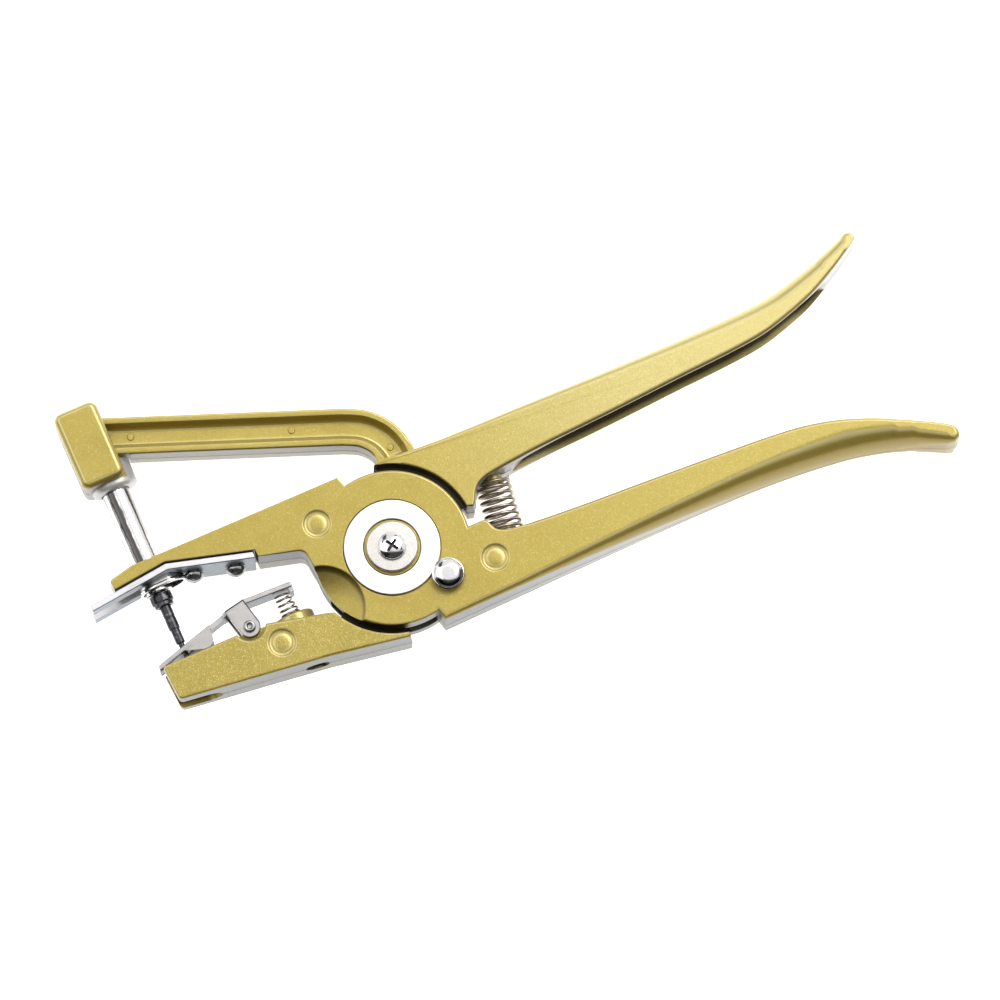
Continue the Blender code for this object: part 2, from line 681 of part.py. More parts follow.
def add_jaw_plate(model):
    """Bent steel plate with a forked tip, held under the upper jaw by two domed screws."""
    top = [PLATE_FRONT, PLATE_BEND, PLATE_REAR]
    drop = Vector((0.0, -PLATE_T))
    profile = [tuple(Vector(p) + drop) for p in top] + top[::-1]
    span = rod_guide_span()
    middle = (span[0] + span[1]) / 2
    half = FORK_WIDTH / 2
    cuts = [box((PLATE_FRONT[0] - CUT_OVER, middle), (PLATE_REAR[1], JAW_TOP_Y), (-half, half)), guide_slot()]
    for x in JAW_SCREW_X:
        hole = cylinder(JAW_SCREW_R + SEAT_GAP, -CUT_OVER, PLATE_T + CUT_OVER, 16)
        cuts.append(hole.turned(stand(plate_normal(), plate_point(x))))
    model.piece("jaw_plate", prism(profile, -PLATE_WIDTH / 2, PLATE_WIDTH / 2), "frame", "steel", cuts=cuts)
    names = ("jaw_plate_screw_front", "jaw_plate_screw_rear")
    under = PLATE_T + SEAT_GAP
    for name, x in zip(names, JAW_SCREW_X):
        dome = [(JAW_SCREW_HEAD_R * math.cos(rad(a)), under + JAW_SCREW_HEAD_H * math.sin(rad(a)))
                for a in (0, 30, 60)]
        tip = -JAW_SCREW_GRIP
        screw = turned([(0, tip), (JAW_SCREW_R, tip), (JAW_SCREW_R, under), *dome,
                        (0, under + JAW_SCREW_HEAD_H)], 18)
        model.piece(name, screw.turned(stand(plate_normal(), plate_point(x))), "frame", "black_steel")
    length, width = (span[1] - span[0]) / 2, ROD_R + ROD_ROOM
    flange_top = min(plate_point(x)[1] for x in (span[0] - 1, span[1] + 1)) - PLATE_T - SEAT_GAP
    sleeve_low, sleeve_high = flange_top - BUSH_FLANGE_T / 2, JAW_TOP_Y - 2 * SEAT_GAP
    flange = obround(length + BUSH_WALL + BUSH_FLANGE, width + BUSH_WALL + BUSH_FLANGE,
                     flange_top - BUSH_FLANGE_T, flange_top)
    sleeve = obround(length + BUSH_WALL, width + BUSH_WALL, sleeve_low, sleeve_high)
    bore = obround(length, width, flange_top - BUSH_FLANGE_T - CUT_OVER, sleeve_high + CUT_OVER)
    up = stand((0, 1), (middle, 0.0))
    model.piece("guide_bush", flange.turned(up), "frame", "steel", joins=[sleeve.turned(up)],
                cuts=[bore.turned(up)])


def add_pivot(model):
    """Turned rings, barrel, washer and screw on the pivot axis."""
    low = HALF - RING_SINK + SEAT_GAP
    profile = [(RING_INNER_R, low), (RING_OUTER_R, low), (RING_OUTER_R, low + RING_T),
               (RING_INNER_R, low + RING_T)]
    model.piece("hub_ring_front", turned(profile, 40), "frame", "bare_aluminium")
    back = turned(profile, 40).turned(Matrix.Rotation(math.pi, 4, "X"))
    model.piece("hub_ring_back", back, "frame", "bare_aluminium")
    face = -HALF - SEAT_GAP
    bore_r = PIVOT_SCREW_R + SEAT_GAP
    bore_floor = -HALF + 4.0
    barrel = turned([(0, face - BARREL_HEAD_T), (BARREL_HEAD_R - 0.6, face - BARREL_HEAD_T),
                     (BARREL_HEAD_R, face - BARREL_HEAD_T + 0.6), (BARREL_HEAD_R, face), (BARREL_R, face),
                     (BARREL_R, HALF), (bore_r, HALF), (bore_r, bore_floor), (0, bore_floor)], 32)
    model.piece("pivot_barrel", barrel, "frame", "chrome")
    foot = HALF + SEAT_GAP
    washer = turned([(bore_r, foot), (WASHER_R, foot), (WASHER_R, foot + WASHER_T - 0.4),
                     (WASHER_R - 0.4, foot + WASHER_T), (bore_r, foot + WASHER_T)], 36)
    model.piece("pivot_washer", washer, "frame", "chrome")
    under = foot + WASHER_T + SEAT_GAP
    dome = [(PIVOT_SCREW_HEAD_R * math.cos(rad(a)), under + PIVOT_SCREW_HEAD_H * math.sin(rad(a)))
            for a in (0, 25, 50, 70)]
    screw = turned([(0, bore_floor + 1.0), (PIVOT_SCREW_R, bore_floor + 1.0), (PIVOT_SCREW_R, under), *dome,
                    (0, under + PIVOT_SCREW_HEAD_H)], 28)
    slot = (-PIVOT_SCREW_HEAD_R * 0.5, PIVOT_SCREW_HEAD_R * 0.5)
    deep = (under + PIVOT_SCREW_HEAD_H - 1.1, under + PIVOT_SCREW_HEAD_H + 1)
    cross = [box(slot, (-0.4, 0.4), deep), box((-0.4, 0.4), slot, (deep[0] + 0.05, deep[1]))]
    model.piece("pivot_screw", screw, "frame", "chrome", cuts=cross)


def add_lock_button(model):
    """Push button with its spring, and the ring that keeps it in the hub."""
    at = Matrix.Translation((*BUTTON_AT, 0.0))
    lip = HALF - RING_SINK + SEAT_GAP + RING_T + SEAT_GAP + BUTTON_TRAVEL
    floor = HALF - POCKET_DEPTH
    body_foot = floor + BUTTON_TRAVEL + 1.4
    back = -HALF + BACK_POCKET_DEPTH - SEAT_GAP
    end = back - CLIP_RING_T - 0.3
    neck = BUTTON_STEM_R - BUTTON_NECK
    dome = [(BUTTON_HEAD_R, lip), (BUTTON_HEAD_R, lip + BUTTON_LIP_T),
            (BUTTON_HEAD_R * 0.9, lip + BUTTON_LIP_T + 0.3),
            (BUTTON_HEAD_R * 0.78, lip + BUTTON_HEAD_H * 0.8),
            (BUTTON_HEAD_R * 0.45, lip + BUTTON_HEAD_H), (0, lip + BUTTON_HEAD_H)]
    profile = [(0, end), (BUTTON_STEM_R, end), (BUTTON_STEM_R, back - CLIP_RING_T),
               (neck, back - CLIP_RING_T), (neck, back + SEAT_GAP),
               (BUTTON_STEM_R, back + SEAT_GAP), (BUTTON_STEM_R, body_foot),
               (BUTTON_BODY_R, body_foot), (BUTTON_BODY_R, lip), *dome]
    model.piece("lock_button", turned(profile, 20).turned(at), "lock_button", "chrome")
    inner = neck + CLIP_RING_FLOAT
    ring_low, ring_high = back - CLIP_RING_T + CLIP_RING_FLOAT, back - CLIP_RING_FLOAT
    ring = turned([(inner, ring_low), (CLIP_RING_R, ring_low), (CLIP_RING_R, ring_high),
                   (inner, ring_high)], 24)
    model.piece("lock_retaining_ring", ring.turned(at), "lock_button", "steel")
    low, high = floor + SEAT_GAP + LOCK_WIRE_R, body_foot - SEAT_GAP - LOCK_WIRE_R
    radius = BUTTON_STEM_R + SEAT_GAP + LOCK_WIRE_R + 0.15

    def path(t):
        return Vector((0.0, low + (high - low) * t, 0.0)), Vector((0.0, 1.0, 0.0))

    spring = coil(path, lambda t: radius, LOCK_WIRE_R, LOCK_TURNS, COIL_FACETS - 2, 4)
    spring.turned(at @ Matrix.Rotation(math.pi / 2, 4, "X"))
    model.piece("lock_spring", spring, "frame", "spring_steel")


def arm_outline(half_width, start=0.0, end=0.0):
    """Both sides of the arm's centre line, cut short by start and end along the line."""
    straight = [Vector(ARM_PATH[0]), Vector(ARM_PATH[1])]
    along = (straight[1] - straight[0]).normalized()
    path = [straight[0] + along * start, straight[1] - along * 6]
    path += [Vector(p) for p in smooth(ARM_PATH[1:], 3)]
    if end:
        path = [p for p in path if p.y > ARM_PATH[-1][1] + end]
    left, right = [], []
    for i, point in enumerate(path):
        run = (path[min(i + 1, len(path) - 1)] - path[max(i - 1, 0)]).normalized()
        side = Vector((-run.y, run.x)) * half_width
        left.append(tuple(point + side))
        right.append(tuple(point - side))
    return right + left[::-1]


def trimmed_to_hub(points):
    """Lifts points that lie inside the concave root back onto it."""
    result = []
    for x, y in points:
        reach = math.hypot(x, y)
        limit = CONCAVE_R + 0.25
        scale = limit / reach if reach < limit else 1.0
        result.append((x * scale, y * scale))
    return result


def add_upper_lever(model):
    """Upper lever: grip, hub lug, punch arm and hammer block in one casting."""
    low, high = RUN_GAP / 2, RUN_GAP / 2 + LUG_T
    disc, web, bore, slot = hub_lug(low, high, LEVER_SPAN, button_slot(LEVER_SQUEEZE, 0.0))
    arm_edge = thinned(with_edge(trimmed_to_hub(arm_outline(ARM_HALF_WIDTH)), 0.8), ARM_PATH[-1], NOSE_REACH)
    arm = plate(arm_edge, ARM_DEPTH / 2)
    corners = [(BLOCK_X[0], BLOCK_Y[0]), (BLOCK_X[1], BLOCK_Y[0]), (BLOCK_X[1], BLOCK_Y[1]),
               (BLOCK_X[0], BLOCK_Y[1])]
    outline = []
    for i, corner in enumerate(corners):
        outline += rounded_corner(corners[i - 1], corner, corners[(i + 1) % 4], BLOCK_R + 0.5, 4)
    block = plate(with_edge(outline, BLOCK_R), BLOCK_DEPTH / 2)
    bore_rod = cylinder(ROD_R + SEAT_GAP, -5.0, ROD_TOP_Y - BLOCK_Y[0] + SEAT_GAP, 28)
    cuts = [bore, slot, bore_rod.turned(stand((0, 1), (ROD_X, BLOCK_Y[0]))),
            groove(LEVER_GRIP_INNER, 1)]
    inner = arm_outline(ARM_HALF_WIDTH - ARM_FLANGE, 4.5, 6.4)
    for side in (-1, 1):
        reach = sorted((side * ARM_WEB_T / 2, side * (ARM_DEPTH / 2 + 1)))
        cuts.append(prism(inner, *reach))
    seat, peg = spring_seat(MAIN_HEAD, -spring_axis())
    model.piece("upper_lever", plate(lever_outline(), HALF), "upper_lever", "cast_paint",
                joins=[web, disc, arm, block], cuts=cuts + [seat], pegs=[peg])


def add_punch(model):
    """Punch rod in the hammer block, with the collar and the stepped tag pin on its end."""
    up = stand((0, 1), (ROD_X, 0.0))
    thread = PIN_R + SEAT_GAP
    thread_top = ROD_END_Y + 7.0
    rod = turned([(0, thread_top), (thread, thread_top), (thread, ROD_END_Y), (ROD_R - 0.5, ROD_END_Y),
                  (ROD_R, ROD_END_Y + 0.5), (ROD_R, ROD_TOP_Y - 0.5), (ROD_R - 0.5, ROD_TOP_Y),
                  (0, ROD_TOP_Y)], 28)
    model.piece("punch_rod", rod.turned(up), "upper_lever", "chrome")
    top = ROD_END_Y - SEAT_GAP
    foot = top - COLLAR_H
    collar = turned([(thread, foot), (COLLAR_R - 0.5, foot), (COLLAR_R, foot + 0.5), (COLLAR_R, top - 0.5),
                     (COLLAR_R - 0.4, top), (thread, top)], 24)
    model.piece("pin_collar", collar.turned(up), "upper_lever", "black_steel")
    step_y = foot - 7.5
    pin = turned([(0, PIN_END_Y), (PIN_TIP_R * 0.6, PIN_END_Y + 0.4), (PIN_TIP_R, PIN_END_Y + 1.6),
                  (PIN_TIP_R, 0.2), (PIN_R - 0.3, 0.6), (PIN_R - 0.3, step_y), (PIN_R, step_y + 0.3),
                  (PIN_R, thread_top - SEAT_GAP), (0, thread_top - SEAT_GAP)], 16)
    model.piece("tag_pin", pin.turned(up), "upper_lever", "black_steel")


def add_lower_jaw(model):
    """Lower jaw: a channel that takes the pin and the tag, with the lug that pivots in the hub."""
    low, high = -RUN_GAP / 2 - LUG_T, -RUN_GAP / 2
    disc, web, bore, slot = hub_lug(low, high, JAW_SPAN, button_slot(LEVER_SQUEEZE, JAW_DROP))
    boss = cylinder(BOSS_R, -BOSS_H, 0.0, 32).turned(stand((0, 1), (BOSS_X, BOSS_TOP_Y)))
    at_pin = Matrix.Translation((*CLIP_PIVOT, 0.0))
    lug = cylinder(EAR_R - 0.2, -CLIP_LUG_HALF, CLIP_LUG_HALF, 20).turned(at_pin)
    ear_in = CLIP_LUG_HALF + SEAT_GAP
    cuts = [bore, slot,
            box((JAW_FRONT_X - 2, CHANNEL_END_X), (CHANNEL_FLOOR_Y, 5), (-CHANNEL_HALF, CHANNEL_HALF)),
            box((JAW_FRONT_X - 2, DRAIN_END_X), (-30, CHANNEL_FLOOR_Y + 1), (-DRAIN_HALF, DRAIN_HALF)),
            cylinder(CLIP_PIN_R + SEAT_GAP, -HALF, HALF, 16).turned(at_pin)]
    dip = EAR_R + EAR_ROOM
    for side in (-1, 1):
        reach = sorted((side * ear_in, side * (HALF + 1)))
        cuts.append(cylinder(dip, *reach, 28).turned(at_pin))
        cuts.append(dish(JAW_DISH, side))
    hole_x = (OVAL_HOLE_X[0] + OVAL_HOLE_X[1]) / 2
    hole = obround((OVAL_HOLE_X[1] - OVAL_HOLE_X[0]) / 2, OVAL_HOLE_HALF, -3 * CUT_OVER, OVAL_HOLE_DEPTH)
    hole_y = line_y(JAW_BOTTOM[0], JAW_BOTTOM[1], hole_x)
    cuts.append(hole.turned(stand((0, 1), (hole_x, hole_y))))
    model.piece("lower_jaw", plate(lower_jaw_outline(), HALF), "lower_jaw", "cast_paint",
                joins=[web, disc, boss, lug], cuts=cuts)
    head_z = ear_in + SEAT_GAP + EAR_T + SEAT_GAP
    top = head_z + CLIP_PIN_HEAD_H
    profile = [(0, -top), (CLIP_PIN_HEAD_R - 0.4, -top), (CLIP_PIN_HEAD_R, -head_z), (CLIP_PIN_R, -head_z),
               (CLIP_PIN_R, head_z), (CLIP_PIN_HEAD_R, head_z), (CLIP_PIN_HEAD_R - 0.4, top), (0, top)]
    model.piece("clip_pin", turned(profile, 16).turned(at_pin), "lower_jaw", "steel")


def add_tag_clip(model):
    """Bent sheet-metal clip: forked nose, neck, two ears on the pin and a thumb pad."""
    profile = [(x, y - CLIP_T) for x, y in CLIP_TOP] + CLIP_TOP[::-1]
    sheet = prism(profile, -CLIP_HALF, CLIP_HALF)
    ear_in = CLIP_LUG_HALF + 2 * SEAT_GAP
    roots = [(CLIP_TOP[2][0] - 0.4, line_y(CLIP_TOP[1], CLIP_TOP[2], CLIP_TOP[2][0] - 0.4) - 0.2),
             (CLIP_TOP[3][0] + 0.6, CLIP_TOP[3][1] - 0.25)]
    ear = arc(EAR_R, -165, 5, 10, CLIP_PIVOT) + [roots[1], roots[0]]
    joins, cuts = [], []
    for side in (-1, 1):
        joins.append(prism(ear, *sorted((side * ear_in, side * (ear_in + EAR_T)))))
        neck = sorted((side * CLIP_NECK_HALF, side * (CLIP_HALF + 3)))
        cuts.append(box(CLIP_NECK_X, (-6, 8), neck))
    cuts.append(box((CLIP_TOP[0][0] - 2, CLIP_SLOT_END_X), (-10, 8), (-CLIP_SLOT_HALF, CLIP_SLOT_HALF)))
    hole = cylinder(CLIP_PIN_R + SEAT_GAP, -HALF, HALF, 16)
    cuts.append(hole.turned(Matrix.Translation((*CLIP_PIVOT, 0.0))))
    model.piece("tag_clip", sheet, "tag_clip", "steel", joins=joins, cuts=cuts)
    foot = Vector((BOSS_X - 0.2, BOSS_TOP_Y + SEAT_GAP + CLIP_WIRE_R, 0.0))
    under = line_y(CLIP_TOP[3], CLIP_TOP[4], BOSS_X) - CLIP_T
    head = Vector((BOSS_X - 0.6, under - SEAT_GAP - CLIP_WIRE_R, 0.0))

    def path(t):
        return foot.lerp(head, t), (head - foot).normalized()

    def radii(t):
        return CLIP_COIL_R[0] + (CLIP_COIL_R[1] - CLIP_COIL_R[0]) * t

    spring = coil(path, radii, CLIP_WIRE_R, CLIP_TURNS, COIL_FACETS - 1, 4)
    model.piece("clip_spring", spring, "lower_jaw", "spring_steel")


def add_main_spring(model):
    """Return spring between the grips."""
    axis = spring_axis().to_3d()
    inset = axis * (SEAT_GAP + MAIN_WIRE_R)
    foot = Vector((*MAIN_FOOT, 0.0)) + inset
    head = Vector((*MAIN_HEAD, 0.0)) - inset

    def path(t):
        return foot.lerp(head, t), axis

    model.piece("main_spring", coil(path, lambda t: MAIN_COIL_R, MAIN_WIRE_R, MAIN_TURNS), "frame",
                "spring_steel")


def main():
    for thing in list(bpy.data.objects):
        bpy.data.objects.remove(thing, do_unlink=True)
    model = Model()
    model.body("frame", (0.0, 0.0))
    model.body("upper_lever", (0.0, 0.0))
    model.body("lower_jaw", (0.0, 0.0))
    model.body("tag_clip", CLIP_PIVOT)
    model.body("lock_button", BUTTON_AT)
    add_frame(model)
    add_jaw_plate(model)
    add_pivot(model)
    add_lock_button(model)
    add_upper_lever(model)
    add_punch(model)
    add_lower_jaw(model)
    add_tag_clip(model)
    add_main_spring(model)


main()
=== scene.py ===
"""Ear tag applicator: the finished look of the tool, built round its CAD frame.

Sizes are in millimetres in the tool frame: its origin is the pivot axis at the middle of the castings'
depth, X runs to the grips, Y to the punch arm and Z out of the front face. Meshes are made in metres.
"""

import logging
import math
from collections.abc import Callable, Iterable, Sequence
from dataclasses import dataclass
from enum import Enum

import bmesh
import bpy
from mathutils import Matrix, Vector


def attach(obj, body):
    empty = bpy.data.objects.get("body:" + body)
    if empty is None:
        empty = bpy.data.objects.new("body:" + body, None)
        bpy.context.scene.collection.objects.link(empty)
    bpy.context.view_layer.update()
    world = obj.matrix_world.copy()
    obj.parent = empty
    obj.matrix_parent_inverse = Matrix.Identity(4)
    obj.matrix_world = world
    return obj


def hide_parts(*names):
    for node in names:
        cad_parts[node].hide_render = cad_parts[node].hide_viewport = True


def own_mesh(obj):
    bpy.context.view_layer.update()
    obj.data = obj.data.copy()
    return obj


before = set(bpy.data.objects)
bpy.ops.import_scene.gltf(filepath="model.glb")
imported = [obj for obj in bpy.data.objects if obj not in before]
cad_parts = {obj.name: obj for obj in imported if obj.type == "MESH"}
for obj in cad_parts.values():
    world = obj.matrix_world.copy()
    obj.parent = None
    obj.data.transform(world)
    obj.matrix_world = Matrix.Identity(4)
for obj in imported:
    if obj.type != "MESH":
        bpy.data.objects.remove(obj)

LOG = logging.getLogger("ear_tag_applicator")
MM = 0.001

Point = tuple[float, float]
EdgePoint = tuple[float, float, float]
Colour = tuple[float, float, float]


class Body(Enum):
    """Bodies of the mechanism, as the record names them."""

    FRAME = "frame"
    UPPER_LEVER = "upper_lever"
    LOWER_JAW = "lower_jaw"
    TAG_CLIP = "tag_clip"
    LOCK_BUTTON = "lock_button"


class Slot(Enum):
    """Finish slots of the record."""

    CAST_PAINT = "cast_paint"
    STEEL = "steel"
    CHROME = "chrome"
    BARE_ALUMINIUM = "bare_aluminium"
    BLACK_STEEL = "black_steel"
    SPRING_STEEL = "spring_steel"


class Side(Enum):
    """Faces of a casting."""

    FRONT = 1
    BACK = -1

    def place(self, x: float, y: float, z: float) -> Matrix:
        """Matrix that stands a feature on this face, pointing outwards."""
        matrix = Matrix.Translation((x, y, self.value * z))
        return matrix if self is Side.FRONT else matrix @ Matrix.Rotation(math.pi, 4, "X")


def rad(degrees: float) -> float:
    """Degrees to radians."""
    return math.radians(degrees)


def polar(radius: float, angle: float, centre: Point = (0.0, 0.0)) -> Point:
    """Point at an angle, in degrees, round a centre."""
    return (centre[0] + radius * math.cos(rad(angle)), centre[1] + radius * math.sin(rad(angle)))


def arc(radius: float, start: float, end: float, count: int, centre: Point = (0.0, 0.0)) -> list[Point]:
    """Points on an arc from one angle to another, both ends included."""
    return [polar(radius, start + (end - start) * i / (count - 1), centre) for i in range(count)]


def dimmed(colour: Colour, share: float) -> Colour:
    """A colour at a share of its brightness."""
    return (colour[0] * share, colour[1] * share, colour[2] * share)


def line_y(a: Point, b: Point, x: float) -> float:
    """Height at x of the straight line through a and b."""
    return a[1] + (b[1] - a[1]) * (x - a[0]) / (b[0] - a[0])


def smooth(points: Sequence[Point], per_span: int) -> list[Point]:
    """A Catmull-Rom curve through the points, with its two ends kept.

    Args:
        points: Points that the curve runs through.
        per_span: How many points each span is divided into.

    Returns:
        The points of the curve.
    """
    result: list[Point] = []
    last = len(points) - 1
    for i in range(last):
        before, start = Vector(points[max(i - 1, 0)]), Vector(points[i])
        end, after = Vector(points[i + 1]), Vector(points[min(i + 2, last)])
        for k in range(per_span):
            t = k / per_span
            spot = 0.5 * (2 * start + (end - before) * t + (2 * before - 5 * start + 4 * end - after) * t * t
                          + (3 * start - before - 3 * end + after) * t ** 3)
            result.append((spot.x, spot.y))
    result.append((points[last][0], points[last][1]))
    return result


def rounded_corner(before: Point, corner: Point, after: Point, radius: float,
                   count: int = 8) -> list[Point]:
    """Points of a round corner between two straight edges."""
    to_before = (Vector(before) - Vector(corner)).normalized()
    to_after = (Vector(after) - Vector(corner)).normalized()
    half = to_before.angle(to_after) / 2
    reach = radius / math.tan(half)
    centre = Vector(corner) + (to_before + to_after).normalized() * radius / math.sin(half)
    start = Vector(corner) + to_before * reach - centre
    sweep = start.angle_signed(Vector(corner) + to_after * reach - centre)
    turns = [Matrix.Rotation(-sweep * i / (count - 1), 2) for i in range(count)]
    return [(spot.x, spot.y) for spot in (centre + turn @ start for turn in turns)]


def stand(direction: Sequence[float], at: Sequence[float]) -> Matrix:
    """Matrix that turns Z to a direction in the tool's plane and moves the origin to a point."""
    angle = math.atan2(direction[1], direction[0]) - math.pi / 2
    return (Matrix.Translation((at[0], at[1], 0.0)) @ Matrix.Rotation(angle, 4, "Z")
            @ Matrix.Rotation(-math.pi / 2, 4, "X"))


class Solid:
    """A closed mesh drawn in millimetres in the tool frame."""

    def __init__(self) -> None:
        """Starts an empty mesh."""
        self.bm = bmesh.new()

    def ring(self, points: Iterable[Sequence[float]]) -> list[bmesh.types.BMVert]:
        """Adds a loop of vertices."""
        return [self.bm.verts.new(p) for p in points]

    def skin(self, lower: list[bmesh.types.BMVert], upper: list[bmesh.types.BMVert]) -> None:
        """Joins two closed rings that have the same number of points."""
        for i in range(len(lower)):
            j = (i + 1) % len(lower)
            self.bm.faces.new((lower[i], lower[j], upper[j], upper[i]))

    def cap(self, ring: list[bmesh.types.BMVert], flip: bool = False) -> None:
        """Closes a ring with one face."""
        self.bm.faces.new(reversed(ring) if flip else ring)

    def tube(self, rings: Sequence[Iterable[Sequence[float]]]) -> "Solid":
        """Skins a row of rings and closes both ends."""
        made = [self.ring(points) for points in rings]
        for lower, upper in zip(made, made[1:]):
            self.skin(lower, upper)
        self.cap(made[0], flip=True)
        self.cap(made[-1])
        return self

    def moved(self, matrix: Matrix) -> "Solid":
        """Moves the mesh and returns it."""
        bmesh.ops.transform(self.bm, matrix=matrix, verts=self.bm.verts)
        return self

    def outward(self) -> "Solid":
        """Turns all faces outwards."""
        bmesh.ops.recalc_face_normals(self.bm, faces=self.bm.faces)
        return self

    def link(self, name: str) -> bpy.types.Object:
        """Makes an object of the mesh, in metres and at its place in the world."""
        place = Matrix.Scale(MM, 4) @ Matrix.Translation((0.0, 0.0, Tool.mid_z))
        bmesh.ops.transform(self.bm, matrix=place, verts=self.bm.verts)
        mesh = bpy.data.meshes.new(name)
        self.bm.to_mesh(mesh)
        self.bm.free()
        thing = bpy.data.objects.new(name, mesh)
        bpy.context.scene.collection.objects.link(thing)
        return thing


def prism(points: Sequence[Point], low: float, high: float) -> Solid:
    """A straight extrusion of a counter-clockwise outline along Z."""
    return Solid().tube([[(x, y, z) for x, y in points] for z in (low, high)])


def box(x: Point, y: Point, z: Point) -> Solid:
    """A plain block between three pairs of limits."""
    return prism([(x[0], y[0]), (x[1], y[0]), (x[1], y[1]), (x[0], y[1])], z[0], z[1])


def inward_normals(outline: Sequence[Sequence[float]], limit: float = 1.6) -> list[Vector]:
    """Mitred inward directions at the points of a counter-clockwise outline."""
    result = []
    for i, here in enumerate(outline):
        spot = Vector(here[:2])
        a = (spot - Vector(outline[i - 1][:2])).normalized()
        b = (Vector(outline[(i + 1) % len(outline)][:2]) - spot).normalized()
        mitre = Vector((-a.y - b.y, a.x + b.x)) / max(0.2, 1.0 + a.dot(b))
        result.append(mitre * min(1.0, limit / max(mitre.length, 1e-6)))
    return result


def leans_across(a: Vector, b: Vector, c: Vector, d: Vector) -> bool:
    """Whether the stretch from a to b crosses the one from c to d."""
    def side(p: Vector, q: Vector, r: Vector) -> float:
        return (q - p).cross(r - p)
    return side(a, b, c) * side(a, b, d) < 0 and side(c, d, a) * side(c, d, b) < 0


def settled(outline: Sequence[EdgePoint], extra: float, window: int = 34) -> list[EdgePoint]:
    """Eases the edge radii where a tight corner would fold the inset outline over itself.

    Args:
        outline: Counter-clockwise points with their edge radii.
        extra: Inset that comes on top of the radius.
        window: How many points ahead a fold is looked for.

    Returns:
        The outline with its radii limited.
    """
    normals = inward_normals(outline)
    radii = [r for _, _, r in outline]
    count = len(outline)
    for _ in range(40):
        folded = set()
        for share in (0.5, 1.0):
            spots = [Vector((x, y)) + n * (r * share + extra)
                     for (x, y, _), n, r in zip(outline, normals, radii)]
            for i in range(count):
                for k in range(2, min(window, count - 2)):
                    j = (i + k) % count
                    if leans_across(spots[i], spots[(i + 1) % count], spots[j], spots[(j + 1) % count]):
                        folded.update((i + m) % count for m in range(-3, k + 5))
        if not folded:
            break
        for i in folded:
            radii[i] = max(0.12, 0.85 * radii[i])
    return [(x, y, r) for (x, y, _), r in zip(outline, radii)]


def layered(outline: Sequence[EdgePoint], levels: Callable[[float], list[Point]]) -> Solid:
    """Stacks insets of an outline.

    Args:
        outline: Counter-clockwise points, each with its own edge radius.
        levels: Gives, for an edge radius, the insets and heights of the rings from the back to the front.

    Returns:
        The closed solid.
    """
    normals = inward_normals(outline)
    tables = [levels(r) for _, _, r in outline]
    rings = [[(x + n.x * table[k][0], y + n.y * table[k][0], table[k][1])
              for (x, y, _), n, table in zip(outline, normals, tables)] for k in range(len(tables[0]))]
    return Solid().tube(rings)


def casting(outline: Sequence[EdgePoint], half: float, steps: int = 5, draft: float = 0.16,
            ridge: float = 0.10) -> Solid:
    """A die casting: rounded edges, drafted sides and a fine parting ridge half way.

    Args:
        outline: Counter-clockwise points, each with its own edge radius.
        half: Half of the depth.
        steps: Rings in each rounded edge.
        draft: How far the sides lean in from the middle to a face.
        ridge: How far the parting ridge stands out.

    Returns:
        The closed solid.
    """
    ridge_half = 0.3

    def levels(r: float) -> list[Point]:
        deep = min(r + max(0.0, r - 2.0) * 0.8, half - 1.6)
        front = [(r * (1 - math.cos(a)) + draft, half - deep + deep * math.sin(a))
                 for a in (rad(90.0 * k / steps) for k in range(steps + 1))]
        middle = [(0.0, -ridge_half), (-ridge, -ridge_half / 3), (-ridge, ridge_half / 3), (0.0, ridge_half)]
        return [(inset, -z) for inset, z in reversed(front)] + middle + front

    return layered(settled(outline, draft), levels)


def pocket(outline: Sequence[Point], profile: Sequence[Point], side: Side = Side.FRONT) -> Solid:
    """Cutter for a pocket: the profile gives the growth of the outline and its height, from the floor up."""
    edge = [(x, y, 0.0) for x, y in outline]
    rows = profile if side is Side.FRONT else [(grow, -z) for grow, z in reversed(profile)]
    return layered(edge, lambda _: [(-grow, z) for grow, z in rows])


def turned(profile: Sequence[Point], segments: int = 72) -> Solid:
    """A solid turned round Z. The profile runs from the foot up the outside, as (radius, height).

    Args:
        profile: Points of the outside. It is closed on the axis where it starts and ends there, and it
            is a ring where it doesn't.
        segments: Facets round the axis.

    Returns:
        The closed solid.
    """
    shape = Solid()
    rings = []
    for radius, height in profile:
        if radius < 1e-6:
            rings.append([shape.bm.verts.new((0.0, 0.0, height))])
        else:
            rings.append(shape.ring([(*polar(radius, 360.0 * k / segments), height)
                                     for k in range(segments)]))
    pairs = list(zip(rings, rings[1:]))
    if len(rings[0]) > 1:
        pairs.append((rings[-1], rings[0]))
    for lower, upper in pairs:
        for k in range(segments):
            j = (k + 1) % segments
            if len(lower) == 1:
                shape.bm.faces.new((lower[0], upper[j], upper[k]))
            elif len(upper) == 1:
                shape.bm.faces.new((lower[k], lower[j], upper[0]))
            else:
                shape.bm.faces.new((lower[k], lower[j], upper[j], upper[k]))
    return shape


def cylinder(radius: float, low: float, high: float, segments: int = 64) -> Solid:
    """A plain round cutter or core along Z."""
    return turned([(0, low), (radius, low), (radius, high), (0, high)], segments)


def fillet(centre: Point, radius: float, start: float, end: float, count: int = 5) -> list[Point]:
    """Points of a rounded edge in a turned profile."""
    return arc(radius, start, end, count, centre)


def obround(half_length: float, half_width: float, count: int = 20) -> list[Point]:
    """Outline of a round-ended bar along X."""
    reach = half_length - half_width
    return (arc(half_width, -90, 90, count, (reach, 0.0)) + arc(half_width, 90, 270, count, (-reach, 0.0)))


def cross_outline(reach: float, half: float) -> list[Point]:
    """Outline of a cross recess, counter-clockwise."""
    quarter = [(reach, -half), (reach, half), (half, half)]
    return [(x * math.cos(rad(a)) - y * math.sin(rad(a)), x * math.sin(rad(a)) + y * math.cos(rad(a)))
            for a in (0, 90, 180, 270) for x, y in quarter]


